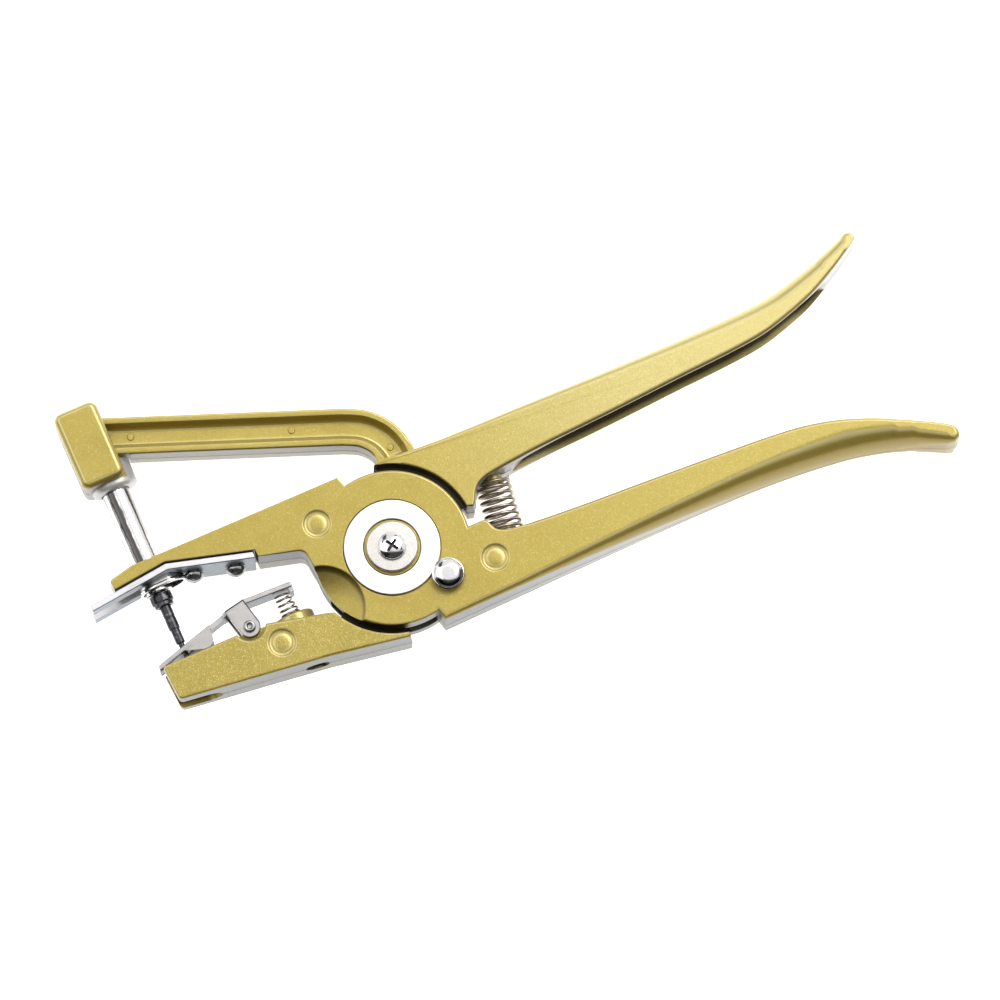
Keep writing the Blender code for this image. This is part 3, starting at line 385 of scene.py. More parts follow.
class Graph:
    """Builds a node tree in few words."""

    def __init__(self, tree: bpy.types.NodeTree) -> None:
        """Takes the tree to fill."""
        self.tree = tree

    def add(self, kind: str, inputs: dict[str | int, object] | None = None,
            **settings: object) -> bpy.types.Node:
        """Adds a node.

        Args:
            kind: Blender's name of the node type.
            inputs: Values or output sockets for the node's inputs, by name or number.
            **settings: Properties of the node.

        Returns:
            The node.
        """
        node = self.tree.nodes.new(kind)
        for key, value in settings.items():
            setattr(node, key, value)
        for key, value in (inputs or {}).items():
            if isinstance(value, bpy.types.NodeSocket):
                self.tree.links.new(value, node.inputs[key])
            else:
                node.inputs[key].default_value = value
        return node

    def math(self, operation: str, *values: object) -> bpy.types.NodeSocket:
        """A Math node on numbers or sockets."""
        return self.add("ShaderNodeMath", dict(enumerate(values)), operation=operation).outputs[0]

    def vector(self, operation: str, *values: object) -> bpy.types.NodeSocket:
        """A Vector Math node on vectors or sockets."""
        return self.add("ShaderNodeVectorMath", dict(enumerate(values)), operation=operation).outputs[0]

    def ramp(self, factor: bpy.types.NodeSocket, *stops: tuple[float, float]) -> bpy.types.NodeSocket:
        """A grey colour ramp through (position, value) stops."""
        node = self.add("ShaderNodeValToRGB", {0: factor})
        elements = node.color_ramp.elements
        while len(elements) < len(stops):
            elements.new(0.5)
        for element, (position, value) in zip(elements, stops):
            element.position = position
            element.color = (value, value, value, 1.0)
        return node.outputs[0]

    def parts(self, vector: bpy.types.NodeSocket) -> Sequence[bpy.types.NodeSocket]:
        """X, Y and Z of a vector."""
        return self.add("ShaderNodeSeparateXYZ", {0: vector}).outputs

    def remap(self, value: bpy.types.NodeSocket, start: float, end: float, low: float = 0.0,
              high: float = 1.0) -> bpy.types.NodeSocket:
        """Carries the range from start to end over to the one from low to high, and stops at its ends."""
        return self.add("ShaderNodeMapRange", {0: value, 1: start, 2: end, 3: low, 4: high}).outputs[0]

    def product(self, *values: object) -> bpy.types.NodeSocket:
        """All values multiplied."""
        result = values[0]
        for value in values[1:]:
            result = self.math("MULTIPLY", result, value)
        return result

    def mix(self, factor: object, a: object, b: object) -> bpy.types.NodeSocket:
        """Mixes two colours."""
        node = self.add("ShaderNodeMix", data_type="RGBA")
        for key, value in ((0, factor), (6, a), (7, b)):
            if isinstance(value, bpy.types.NodeSocket):
                self.tree.links.new(value, node.inputs[key])
            else:
                node.inputs[key].default_value = value if key == 0 else (*value, 1.0)
        return node.outputs[2]

    def noise(self, coordinates: bpy.types.NodeSocket, size: float,
              detail: float = 2.0) -> bpy.types.NodeSocket:
        """Noise whose lumps are about size metres wide."""
        return self.add("ShaderNodeTexNoise", {"Vector": coordinates, "Scale": 1.0 / size, "Detail": detail,
                                               "Roughness": 0.55}).outputs[0]


class Surface(Graph):
    """A material's node tree with its shader and its Object coordinates."""

    def __init__(self, name: str) -> None:
        """Makes the material."""
        self.material = bpy.data.materials.new(name)
        self.material.use_nodes = True
        super().__init__(self.material.node_tree)
        self.shader = self.tree.nodes["Principled BSDF"]
        places = self.add("ShaderNodeTexCoord")
        self.object_at = places.outputs["Object"]
        self.facing = places.outputs["Normal"]

    def set(self, **values: object) -> None:
        """Sets or links the shader's sockets. Underscores stand for spaces."""
        for key, value in values.items():
            socket = self.shader.inputs[key.replace("_", " ")]
            if isinstance(value, bpy.types.NodeSocket):
                self.tree.links.new(value, socket)
            else:
                socket.default_value = (*value, 1.0) if isinstance(value, tuple) else value

    def bump(self, height: bpy.types.NodeSocket, strength: float, distance: float,
             normal: bpy.types.NodeSocket | None = None) -> bpy.types.NodeSocket:
        """A bump normal from a height, over another normal where one is given."""
        inputs: dict[str | int, object] = {"Height": height, "Strength": strength, "Distance": distance}
        if normal is not None:
            inputs["Normal"] = normal
        return self.add("ShaderNodeBump", inputs).outputs[0]

    def inside(self, low: Sequence[float], high: Sequence[float]) -> bpy.types.NodeSocket:
        """One inside a box of the tool frame, in millimetres, and nothing outside it."""
        place = self.parts(self.object_at)
        share: object = 1.0
        for axis, (a, b) in enumerate(zip(low, high)):
            lift = Tool.mid_z if axis == 2 else 0.0
            middle, half = ((a + b) / 2 + lift) * MM, (b - a) / 2 * MM
            off = self.math("ABSOLUTE", self.math("SUBTRACT", place[axis], middle))
            share = self.math("MULTIPLY", share, self.math("LESS_THAN", off, half))
        return share

    def from_pivot(self) -> bpy.types.NodeSocket:
        """Distance from the pivot axis in millimetres."""
        flat = self.vector("MULTIPLY", self.object_at, (1.0 / MM, 1.0 / MM, 0.0))
        return self.add("ShaderNodeVectorMath", {0: flat}, operation="LENGTH").outputs["Value"]

    def flatness(self) -> bpy.types.NodeSocket:
        """How squarely the surface looks along the pivot axis, from 0 on the sides to 1 on the faces."""
        return self.math("ABSOLUTE", self.parts(self.facing)[2])

    def flakes(self, size: float, tilt: float) -> tuple[bpy.types.NodeSocket, bpy.types.NodeSocket]:
        """Small cells that each lean their own way.

        Args:
            size: Width of a flake in metres.
            tilt: How far the flakes lean.

        Returns:
            The leaning normal, and one random number for each flake.
        """
        cells = self.add("ShaderNodeTexVoronoi", {"Vector": self.object_at, "Scale": 1.0 / size})
        lean = self.vector("SUBTRACT", cells.outputs["Color"], (0.5, 0.5, 0.5))
        geometry = self.add("ShaderNodeNewGeometry").outputs["Normal"]
        scaled = self.add("ShaderNodeVectorMath", {0: lean, "Scale": tilt}, operation="SCALE").outputs[0]
        leaning = self.vector("NORMALIZE", self.vector("ADD", geometry, scaled))
        chance = self.parts(cells.outputs["Color"])[0]
        return leaning, chance


# Colour of painted shade, for the hollows, grooves and slots that lie in shadow.
DEEP: Colour = (0.030, 0.020, 0.006)


@dataclass(frozen=True)
class Hollow:
    """A box of the tool frame with painted shade where a casting lies in its shadow, or unpainted metal's
    colour.

    Attributes:
        low, high: Opposite corners.
        light: Share of the paint that still shows.
        tone: Colour of the rest.
    """

    low: tuple[float, float, float]
    high: tuple[float, float, float]
    light: float = 0.25
    tone: Colour = DEEP

    def share(self, s: Surface) -> bpy.types.NodeSocket:
        """How much of the tone a point takes."""
        return s.math("MULTIPLY", s.inside(self.low, self.high), 1.0 - self.light)


@dataclass(frozen=True)
class Channel:
    """The long hollow of a grip, dark from a little inside its edge.

    Attributes:
        edge: Points along the grip's edge, rising in X.
        toward: +1 or -1, the side of the edge along Y that the hollow is on.
        half: Half of its width.
        end: Where it ends along X.
        start: Where the shadow starts, inside the edge.
        depth: How deep the hollow is.
        soft: How wide the shadow's edge is.
        strength: How much of the tone the shadow takes.
        tone: Colour of the shadow.
    """

    edge: tuple[Point, ...]
    toward: float
    half: float
    end: float
    start: float = 0.9
    depth: float = 5.5
    soft: float = 1.1
    strength: float = 0.92
    tone: Colour = DEEP

    def share(self, s: Surface) -> bpy.types.NodeSocket:
        """How much of the tone a point takes."""
        xs, ys = [x for x, _ in self.edge], [y for _, y in self.edge]
        (x0, x1), (y0, y1) = (xs[0], xs[-1]), (min(ys), max(ys))
        place = s.parts(s.object_at)
        run = s.remap(place[0], x0 * MM, x1 * MM)
        line = s.ramp(run, *[((x - x0) / (x1 - x0), (y - y0) / (y1 - y0)) for x, y in self.edge])
        at = s.math("MULTIPLY_ADD", line, (y1 - y0) * MM, y0 * MM)
        inward = s.math("MULTIPLY", s.math("SUBTRACT", place[1], at), self.toward)
        shadow = s.remap(inward, self.start * MM, (self.start + self.soft) * MM)
        within = s.inside((x0, -60.0, -self.half), (self.end, 60.0, self.half))
        near = s.math("LESS_THAN", inward, self.depth * MM)
        return s.product(shadow, self.strength, within, near)


@dataclass(frozen=True)
class Bowl:
    """Shade that grows with the distance from a point low in a round hollow.

    Attributes:
        at: The lightest point.
        reach: Distances where the shade starts and is full.
        z: Depths between which the hollow lies, on both faces.
        box: Half of the side of the square that the shade keeps to.
        strength: How much of the tone the full shade takes.
        tone: Colour of the shade.
    """

    at: Point
    reach: Point
    z: Point
    box: float
    strength: float = 0.80
    tone: Colour = (0.055, 0.034, 0.006)

    def share(self, s: Surface) -> bpy.types.NodeSocket:
        """How much of the tone a point takes."""
        place = s.vector("SUBTRACT", s.object_at, (self.at[0] * MM, self.at[1] * MM, 0.0))
        flat = s.vector("MULTIPLY", place, (1.0 / MM, 1.0 / MM, 0.0))
        away = s.add("ShaderNodeVectorMath", {0: flat}, operation="LENGTH").outputs["Value"]
        shade = s.remap(away, *self.reach)
        share: object = 0.0
        (x, y), r = self.at, self.box
        for sign in (1.0, -1.0):
            low, high = sorted((sign * self.z[0], sign * self.z[1]))
            share = s.math("MAXIMUM", share, s.inside((x - r, y - r, low), (x + r, y + r, high)))
        return s.product(shade, self.strength, share)


@dataclass(frozen=True)
class CastPaint:
    """Gold metallic paint with a fine sparkle, with a grey painted reflection on the drafted sides.

    Attributes:
        name: Name of the material.
        face, face_warm: Colours of the faces, in soft clouds.
        edge, bright: Colours of the rounded edges: painted shade where they turn down, painted highlight
            where they turn up.
        side, side_far: Colours of the grey painted reflection on the sides, near the pivot and, lighter as
            painted light on the sides that face down, towards the grips' tips.
        spark, glitter: Colour of the brightest flakes, and how much of it they take.
        sparkle: Share of the flakes that stay dull.
        flake, tilt: Width of a flake in metres, and how far it leans.
        face_far: Colour of the faces towards the grips' tips, lighter on the lever as painted light.
        far: Where along X, in metres, the far colours start and are full.
        hollows: Places in shadow.
        gap: Radii between which the sides round the hub get painted shade.
        lug_half: Half height of the slot in the hub, with painted shade inside.
        shoulder: Lowest X and highest Y of the hub's shoulder, which gets no painted shade.
        grey_side_end: Where along X the grey of the sides starts to end, and where it has ended.
        line: Colour of the painted highlight, a thin light line where a face turns into its edge.
        calm: Least X and Y and greatest X and Y of the place that has no such line.
    """

    name: str = "cast_paint_gold"
    face: Colour = (0.42, 0.325, 0.060)
    face_warm: Colour = (0.38, 0.285, 0.046)
    edge: Colour = (0.24, 0.165, 0.018)
    side: Colour = (0.105, 0.125, 0.15)
    spark: Colour = (0.80, 0.70, 0.34)
    sparkle: float = 0.93
    flake: float = 0.00016
    tilt: float = 0.10
    bright: Colour = (0.60, 0.50, 0.20)
    face_far: Colour = (0.42, 0.325, 0.066)
    side_far: Colour = (0.46, 0.48, 0.50)
    glitter: float = 0.45
    far: Point = (0.015, 0.085)
    hollows: tuple[Hollow | Channel | Bowl, ...] = ()
    gap: Point = (23.1, 25.7)
    lug_half: float = 4.4
    shoulder: Point = (-4.0, -18.0)
    grey_side_end: Point = (170.0, 180.0)
    line: Colour = (0.78, 0.68, 0.34)
    calm: tuple[float, float, float, float] = (-32.0, -24.0, -12.5, 4.5)

    def material(self) -> bpy.types.Material:
        """Builds the finish."""
        s = Surface(self.name)
        flat = s.flatness()
        cloud = s.ramp(s.noise(s.object_at, 0.012, 3.0), (0.3, 0.0), (0.7, 1.0))
        along = s.parts(s.object_at)[0]
        far = s.remap(along, *self.far)
        colour = s.mix(far, s.mix(cloud, self.face, self.face_warm), self.face_far)
        normal, chance = s.flakes(self.flake, self.tilt)
        lit = s.ramp(chance, (self.sparkle, 0.0), (1.0, self.glitter))
        colour = s.mix(lit, colour, self.spark)
        # Painted light: rounded edges that turn up take a lighter colour and those that turn down a darker
        # one, as painted highlight and painted shade.
        lift = s.remap(s.parts(s.facing)[1], -0.45, 0.30)
        rim = s.ramp(flat, (0.06, 0.0), (0.16, 1.0), (0.66, 1.0), (0.95, 0.0))
        wear_and_rim_light = s.mix(lift, self.edge, self.bright)
        colour = s.mix(s.math("MULTIPLY", rim, 0.72), colour, wear_and_rim_light)
        # Painted highlight: a thin light line where a face turns into its rounded edge, left out in the calm
        # box round the scoop.
        x0, y0, x1, y1 = self.calm
        turn = s.math("MULTIPLY", s.ramp(flat, (0.86, 0.0), (0.93, 1.0), (0.965, 1.0), (0.99, 0.0)),
                      s.math("SUBTRACT", 1.0, s.inside((x0, y0, -TOOL.half), (x1, y1, TOOL.half))))
        colour = s.mix(s.math("MULTIPLY", turn, 0.60), colour, self.line)
        # Painted reflection: the drafted sides take the darker edge colour and over it a grey that stands in
        # for the pale surroundings mirrored in them, lighter as painted light on the down-facing sides
        # towards the grips' tips. Past the grey's end the sides keep the darker edge colour.
        kept = s.remap(along, self.grey_side_end[1] * MM, self.grey_side_end[0] * MM)
        wall = s.ramp(flat, (0.05, 1.0), (0.14, 0.0))
        colour = s.mix(s.math("MULTIPLY", wall, 0.95), colour, self.edge)
        grey_side = s.math("MULTIPLY", wall, kept)
        pale = s.math("MULTIPLY", far, s.math("SUBTRACT", 1.0, lift))
        colour = s.mix(s.math("MULTIPLY", grey_side, 0.90), colour, s.mix(pale, self.side, self.side_far))
        # Painted shade from the hollows, channels and bowls, and the other tones of their boxes.
        for hollow in self.hollows:
            colour = s.mix(hollow.share(s), colour, hollow.tone)
        # Painted shade: the sides in the gap round the hub and inside its slot are painted near black.
        colour = s.mix(s.math("MULTIPLY", self.hub_gap(s, grey_side), 0.93), colour, (0.02, 0.014, 0.006))
        peel = s.bump(s.noise(s.object_at, 0.0011, 1.0), 0.10, 0.0002, normal)
        s.set(Base_Color=colour, Normal=peel, Metallic=0.45, Roughness=0.38, Coat_Weight=0.25,
              Coat_Roughness=0.15)
        return s.material

    def hub_gap(self, s: Surface, grey_side: bpy.types.NodeSocket) -> bpy.types.NodeSocket:
        """Where the sides in the gap round the hub or in its slot get painted shade.

        Args:
            s: The surface.
            grey_side: Where it is a side painted grey.

        Returns:
            One in the painted shade and nothing outside it.
        """
        (near, out), half, (left, top) = self.gap, self.lug_half, self.shoulder
        away = s.from_pivot()
        within = s.math("LESS_THAN", away, out)
        ring = s.product(s.math("GREATER_THAN", away, near), within, grey_side)
        lug = s.math("MULTIPLY", s.inside((-out, -out, -half), (out, out, half)), within)
        corner = s.inside((left, -out, -TOOL.half), (out, top, TOOL.half))
        return s.math("MULTIPLY", s.math("MAXIMUM", ring, lug), s.math("SUBTRACT", 1.0, corner))


@dataclass(frozen=True)
class PlatedSteel:
    """Zinc-plated sheet: soft streaks of the roll and faint handling marks.

    Attributes:
        name: Name of the material.
        colour, under: Colours of the top and of the sides that face down the tool's plane.
        roughness: Middle roughness.
        streak: Width of a streak in metres.
    """

    name: str = "zinc_plate"
    colour: Colour = (0.70, 0.69, 0.71)
    # colour, under: Colours of the top, and of the painted shade, a darker blue-grey, on the sides that face
    # down the tool's plane.
    under: Colour = (0.14, 0.17, 0.205)
    roughness: float = 0.26
    streak: float = 0.0006

    def material(self) -> bpy.types.Material:
        """Builds the finish."""
        s = Surface(self.name)
        long = s.add("ShaderNodeMapping", {0: s.object_at, "Scale": (0.12, 1.0, 1.0)}).outputs[0]
        streaks = s.noise(long, self.streak, 3.0)
        blotch = s.noise(s.object_at, 0.006, 4.0)
        colour = s.mix(s.ramp(blotch, (0.35, 0.0), (0.7, 1.0)), self.colour, dimmed(self.colour, 0.86))
        # Painted shade: sides that face down take the darker blue-grey under colour.
        colour = s.mix(s.remap(s.parts(s.facing)[1], -0.25, -0.75), colour, self.under)
        rough = s.remap(streaks, 0.0, 1.0, self.roughness - 0.06, self.roughness + 0.14)
        s.set(Base_Color=colour, Metallic=1.0, Roughness=rough,
              Normal=s.bump(streaks, 0.10, 0.0001))
        return s.material


@dataclass(frozen=True)
class BrightChrome:
    """Bright plating with a slightly wavy, handled surface.

    Attributes:
        name: Name of the material.
        colour, mottle: Colour, and the share of it that the marks keep.
        roughness, pitting: Roughness of clean metal, and how much the marks add.
        wave: Width of a wave in metres.
        shade: Reach and top of a recess that is given painted shade.
        stripe: Directions along X between which a rod is given a painted reflection of a dark stripe.
        crescent: Whether a dome is given a painted reflection of a dark crescent.
    """

    name: str = "bright_chrome"
    colour: Colour = (0.84, 0.83, 0.83)
    roughness: float = 0.07
    wave: float = 0.004
    pitting: float = 0.15
    mottle: float = 0.88
    shade: Point | None = None
    stripe: Point | None = None
    crescent: bool = False

    def material(self) -> bpy.types.Material:
        """Builds the finish."""
        s = Surface(self.name)
        wave = s.noise(s.object_at, self.wave, 3.0)
        smear = s.noise(s.object_at, 0.0016, 5.0)
        rough = s.remap(smear, 0.35, 0.75, self.roughness, self.roughness + self.pitting)
        colour = s.mix(s.ramp(smear, (0.45, 0.0), (0.8, 1.0)), self.colour, dimmed(self.colour, self.mottle))
        # Painted shade: the recess is painted near black.
        if self.shade:
            reach, top = self.shade
            below = s.inside((-reach, -reach, 0.0), (reach, reach, top))
            colour = s.mix(s.math("MULTIPLY", below, 0.9), colour, (0.02, 0.018, 0.018))
        # Painted reflection: a dark crescent on the lower slope of a dome.
        if self.crescent:
            ring = s.ramp(s.flatness(), (0.22, 0.0), (0.34, 1.0), (0.88, 1.0), (0.955, 0.0))
            lower = s.remap(s.parts(s.facing)[1], 0.05, -0.15)
            colour = s.mix(s.product(ring, lower, 0.93), colour, (0.025, 0.02, 0.018))
        # Painted reflection: a wavy dark stripe down a rod, with more dark towards both its outlines.
        if self.stripe:
            turned_to = s.parts(s.facing)[0]
            wobble = s.math("MULTIPLY_ADD", s.noise(s.object_at, 0.004, 2.0), 0.25, -0.125)
            across = s.math("MULTIPLY_ADD", s.math("ADD", turned_to, wobble), 0.5, 0.5)
            start, end = (v * 0.5 + 0.5 for v in self.stripe)
            band = s.ramp(across, (0.02, 0.6), (0.10, 0.0), (start, 0.0), (start + 0.03, 1.0), (end, 1.0),
                          (end + 0.05, 0.0), (0.86, 0.0), (0.92, 0.45))
            colour = s.mix(s.math("MULTIPLY", band, 0.93), colour, (0.028, 0.022, 0.020))
        s.set(Base_Color=colour, Metallic=1.0, Roughness=rough, Normal=s.bump(wave, 0.18, 0.0004))
        return s.material


@dataclass(frozen=True)
class TurnedAluminium:
    """Bare turned aluminium with fine rings round the pivot axis.

    Attributes:
        name: Name of the material.
        colour: Colour of clean metal.
        pitch: Width of a turning line in metres.
    """

    name: str = "turned_aluminium"
    colour: Colour = (0.84, 0.83, 0.84)
    pitch: float = 0.00045

    def material(self) -> bpy.types.Material:
        """Builds the finish."""
        s = Surface(self.name)
        radius = s.math("MULTIPLY", s.from_pivot(), MM)
        rings = s.add("ShaderNodeTexNoise", {"W": radius, "Scale": 1.0 / self.pitch, "Detail": 2.0},
                      noise_dimensions="1D").outputs[0]
        haze = s.noise(s.object_at, 0.003, 3.0)
        colour = s.mix(s.ramp(rings, (0.3, 0.0), (0.75, 1.0)), self.colour, dimmed(self.colour, 0.9))
        s.set(Base_Color=colour, Metallic=1.0, Roughness=s.remap(haze, 0.0, 1.0, 0.24, 0.40),
              Normal=s.bump(rings, 0.10, 0.00005))
        return s.material


@dataclass(frozen=True)
class BlackOxide:
    """Oiled black oxide on steel, rubbed brighter in patches.

    Attributes:
        name: Name of the material.
        colour, worn: Colours of the coat and of its rubbed places.
        roughness: Roughness of the whole coat.
    """

    name: str = "black_oxide"
    colour: Colour = (0.045, 0.045, 0.05)
    wear_and_rim_light: Colour = (0.20, 0.20, 0.21)
    roughness: float = 0.22

    def material(self) -> bpy.types.Material:
        """Builds the finish."""
        s = Surface(self.name)
        wear = s.ramp(s.noise(s.object_at, 0.0015, 4.0), (0.5, 0.0), (0.8, 1.0))
        rough = s.remap(wear, 0.0, 1.0, self.roughness, self.roughness + 0.2)
        s.set(Base_Color=s.mix(wear, self.colour, self.wear_and_rim_light), Metallic=0.9, Roughness=rough,
              Normal=s.bump(s.noise(s.object_at, 0.0006, 2.0), 0.12, 0.0001))
        return s.material


@dataclass(frozen=True)
class SpringWire:
    """Drawn and plated spring wire with fine lengthwise dulling.

    Attributes:
        name: Name of the material.
        colour: Colour of clean wire.
        roughness: Roughness of clean wire.
    """

    name: str = "spring_wire"
    colour: Colour = (0.50, 0.43, 0.35)
    roughness: float = 0.22

    def material(self) -> bpy.types.Material:
        """Builds the finish."""
        s = Surface(self.name)
        patch = s.noise(s.object_at, 0.0012, 3.0)
        colour = s.mix(s.ramp(patch, (0.35, 0.0), (0.75, 1.0)), self.colour, dimmed(self.colour, 0.72))
        rough = s.remap(patch, 0.0, 1.0, self.roughness, self.roughness + 0.2)
        s.set(Base_Color=colour, Metallic=1.0, Roughness=rough)
        return s.material


@dataclass(frozen=True)
class Tool:
    """Sizes that several pieces share.

    Attributes:
        seat_gap, run_gap: Gaps between fixed pieces and between moving ones.
        half, mid_z: Half depth of the castings, and the height of their middle plane.
        hub_r, hub_gap: Radius of the hub, and the gap round it.
        lug_r, lug_t: Radius and thickness of the lugs inside the hub.
        edge_r, thin_edge_r: Radii of the castings' rounded edges.
        squeeze, drop: Swings of the lever and of the lower jaw, in degrees.
        lever_span, jaw_span: Angles between which the two roots lie round the hub.
        ledge_angle, shoulder_angle: Where the frame's outline leaves the hub.
        lever_nose: Corner of the lever beside the hub.
        web_inset, sweep_room: Angles by which the webs are narrower and their openings wider.
        barrel_r, washer_r, washer_t: Sizes of the barrel and of the washer.
        ring_outer_r, ring_inner_r, ring_t, ring_sink: Sizes of the turned rings and of their recess.
        button_at: Centre of the lock button.
        spring_foot, spring_head: Ends of the return spring.
        cut_over: How far a through cut goes past the faces.
    """

    seat_gap: float = 0.3
    run_gap: float = 0.3
    half: float = 10.0
    mid_z: float = 12.3
    hub_r: float = 23.5
    hub_gap: float = 1.6
    lug_r: float = 21.6
    lug_t: float = 3.7
    edge_r: float = 0.9
    thin_edge_r: float = 0.35
    squeeze: float = 9.0
    drop: float = 22.0
    lever_span: Point = (5.6, 79.6)
    jaw_span: Point = (205.3, 258.6)
    ledge_angle: float = 103.4
    shoulder_angle: float = 282.0
    lever_nose: Point = (27.1, 1.8)
    web_inset: float = 2.4
    sweep_room: float = 3.0
    barrel_r: float = 4.0
    washer_r: float = 7.6
    washer_t: float = 1.4
    ring_outer_r: float = 14.2
    ring_inner_r: float = 8.6
    ring_t: float = 1.1
    ring_sink: float = 0.8
    button_at: Point = (11.9, -14.3)
    spring_foot: Point = (33.4, -8.9)
    spring_head: Point = (35.9, 9.3)
    cut_over: float = 1.0

    @property
    def concave_r(self) -> float:
        """Radius of the lever's and lower jaw's root round the hub."""
        return self.hub_r + self.hub_gap

    @property
    def slot_half(self) -> float:
        """Half height of the slot in the hub that both lugs turn in."""
        return self.lug_t + self.run_gap * 1.5

    @property
    def slot_r(self) -> float:
        """Radius of that slot."""
        return self.lug_r + self.run_gap + 0.1

    @property
    def bore_r(self) -> float:
        """Radius of the bores round the pivot barrel."""
        return self.barrel_r + self.run_gap

    @property
    def spring_axis(self) -> Vector:
        """Direction of the return spring, from the frame to the lever."""
        return (Vector(self.spring_head) - Vector(self.spring_foot)).normalized()

    def spring_seat(self, at: Point, outward: Vector) -> tuple[Solid, Solid]:
        """Cutter for a seat of the return spring, and the peg that stands on it."""
        seat = turned([(0, 0.0), (5.7, 0.0), *fillet((5.7, 0.4), 0.4, -90, 0), (6.1, 9.0), (0, 9.0)], 64)
        peg = turned([(0, -1.5), (3.2, -1.5), (3.2, 2.2), *fillet((2.4, 2.2), 0.8, 0, 80), (0, 3.0)], 48)
        return seat.moved(stand(outward, at)), peg.moved(stand(outward, at))


TOOL = Tool()


class Workshop:
    def __init__(self) -> None:
        """Makes each finish once."""
        self.finishes: dict[str, bpy.types.Material] = {}
        self.count = 0

    def finish(self, kind: object) -> bpy.types.Material:
        """The material of a finish, made at its first use."""
        name = kind.name
        if name not in self.finishes:
            self.finishes[name] = kind.material()
        return self.finishes[name]

    def carve(self, name: str, shape: Solid, joins: Sequence[Solid] = (), cuts: Sequence[Solid] = (),
              pegs: Sequence[Solid] = (), pockets: Sequence[Solid] = ()) -> bpy.types.Object:
        """Takes the pockets from a shape, adds the joins, takes the cuts away and adds the pegs.

        Args:
            name: Name of the piece.
            shape: What it starts from.
            joins: Solids added to it.
            cuts: Solids taken away from the whole.
            pegs: Solids added last.
            pockets: Solids taken away before anything is added.

        Returns:
            The piece as a plain object.
        """
        thing = shape.link(name)
        helpers = []
        for role, operation, solids in (("pocket", "DIFFERENCE", pockets), ("join", "UNION", joins),
                                        ("cut", "DIFFERENCE", cuts), ("peg", "UNION", pegs)):
            for i, solid in enumerate(solids):
                helper = solid.link(f"{name}_{role}_{i}")
                step = thing.modifiers.new(helper.name, "BOOLEAN")
                step.operation = operation
                step.solver = "EXACT"
                step.object = helper
                helpers.append(helper)
        self.bake(thing)
        for helper in helpers:
            mesh = helper.data
            bpy.data.objects.remove(helper, do_unlink=True)
            bpy.data.meshes.remove(mesh)
        return thing

    def bake(self, thing: bpy.types.Object) -> None:
        """Turns an object with modifiers into a plain mesh."""
        graph = bpy.context.evaluated_depsgraph_get()
        mesh = bpy.data.meshes.new_from_object(thing.evaluated_get(graph), depsgraph=graph)
        old = thing.data
        thing.modifiers.clear()
        thing.data = mesh
        bpy.data.meshes.remove(old)
        mesh.name = thing.name

    def shade(self, thing: bpy.types.Object, sharp: float = 38.0) -> None:
        """Smooth shading with sharp edges past an angle, weighted so that flat faces stay flat."""
        thing.data.shade_smooth()
        thing.data.set_sharp_from_angle(angle=rad(sharp))
        weigh = thing.modifiers.new("weighted", "WEIGHTED_NORMAL")
        weigh.keep_sharp = True
        weigh.weight = 80
        self.bake(thing)

    def deliver(self, thing: bpy.types.Object, finish: object, slot: Slot, body: Body, *nodes: str,
                shade: bool = True) -> bpy.types.Object:
        """Shades, colours and registers a piece.

        Args:
            thing: The piece.
            finish: Its finish.
            slot: The record's slot for it; not used.
            body: The body it rides on.
            *nodes: CAD nodes that it stands for.
            shade: Whether it still needs its shading.

        Returns:
            The piece.
        """
        if shade:
            self.shade(thing)
        thing.data.materials.clear()
        thing.data.materials.append(self.finish(finish))
        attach(thing, body.value)
        if nodes:
            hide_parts(*nodes)
        self.count += 1
        LOG.info("%s: %d faces on %s", thing.name, len(thing.data.polygons), body.value)
        return thing


@dataclass(frozen=True)
class HubLug:
    """Disc of a lever inside the hub, with the web that carries the outer part.

    Attributes:
        low, high: Heights of its faces from the middle plane.
        span: Angles between which the web lies.
        stem_half: Half width of the slot for the button's stem.
    """

    low: float
    high: float
    span: Point
    stem_half: float = 2.8

    def solids(self, squeeze: float, drop: float) -> tuple[Solid, Solid, Solid, Solid]:
        """The disc, the web, and the cutters for the bore and for the button's stem."""
        start, end = self.span[0] + TOOL.web_inset, self.span[1] - TOOL.web_inset
        web = arc(TOOL.concave_r + 1.6, start, end, 30) + arc(TOOL.lug_r - 4.0, end, start, 30)
        disc = cylinder(TOOL.lug_r, self.low, self.high, 90).moved(Matrix.Rotation(rad(2.7), 4, "Z"))
        bore = cylinder(TOOL.bore_r, self.low - 1, self.high + 1, 56)
        reach = math.hypot(*TOOL.button_at)
        angle = math.degrees(math.atan2(TOOL.button_at[1], TOOL.button_at[0]))
        first, last = angle - drop - 1.0, angle + squeeze + 1.0
        half = self.stem_half
        slot = (arc(reach + half, first, last, 16) + arc(half, last, last + 180, 12, polar(reach, last))[1:-1]
                + arc(reach - half, last, first, 16)
                + arc(half, first + 180, first + 360, 12, polar(reach, first))[1:-1])
        return (disc, prism(web, self.low + 0.05, self.high - 0.05), bore,
                prism(slot, self.low - 1, self.high + 1))


def with_edge(points: Sequence[Point], radius: float = TOOL.edge_r) -> list[EdgePoint]:
    """Gives all points one edge radius."""
    return [(x, y, radius) for x, y in points]


def thinned(points: Sequence[EdgePoint], centre: Point, reach: float) -> list[EdgePoint]:
    """Limits the edge rounding of the points that lie near a thin nose."""
    return [(x, y, min(r, TOOL.thin_edge_r) if math.dist((x, y), centre) < reach else r)
            for x, y, r in points]


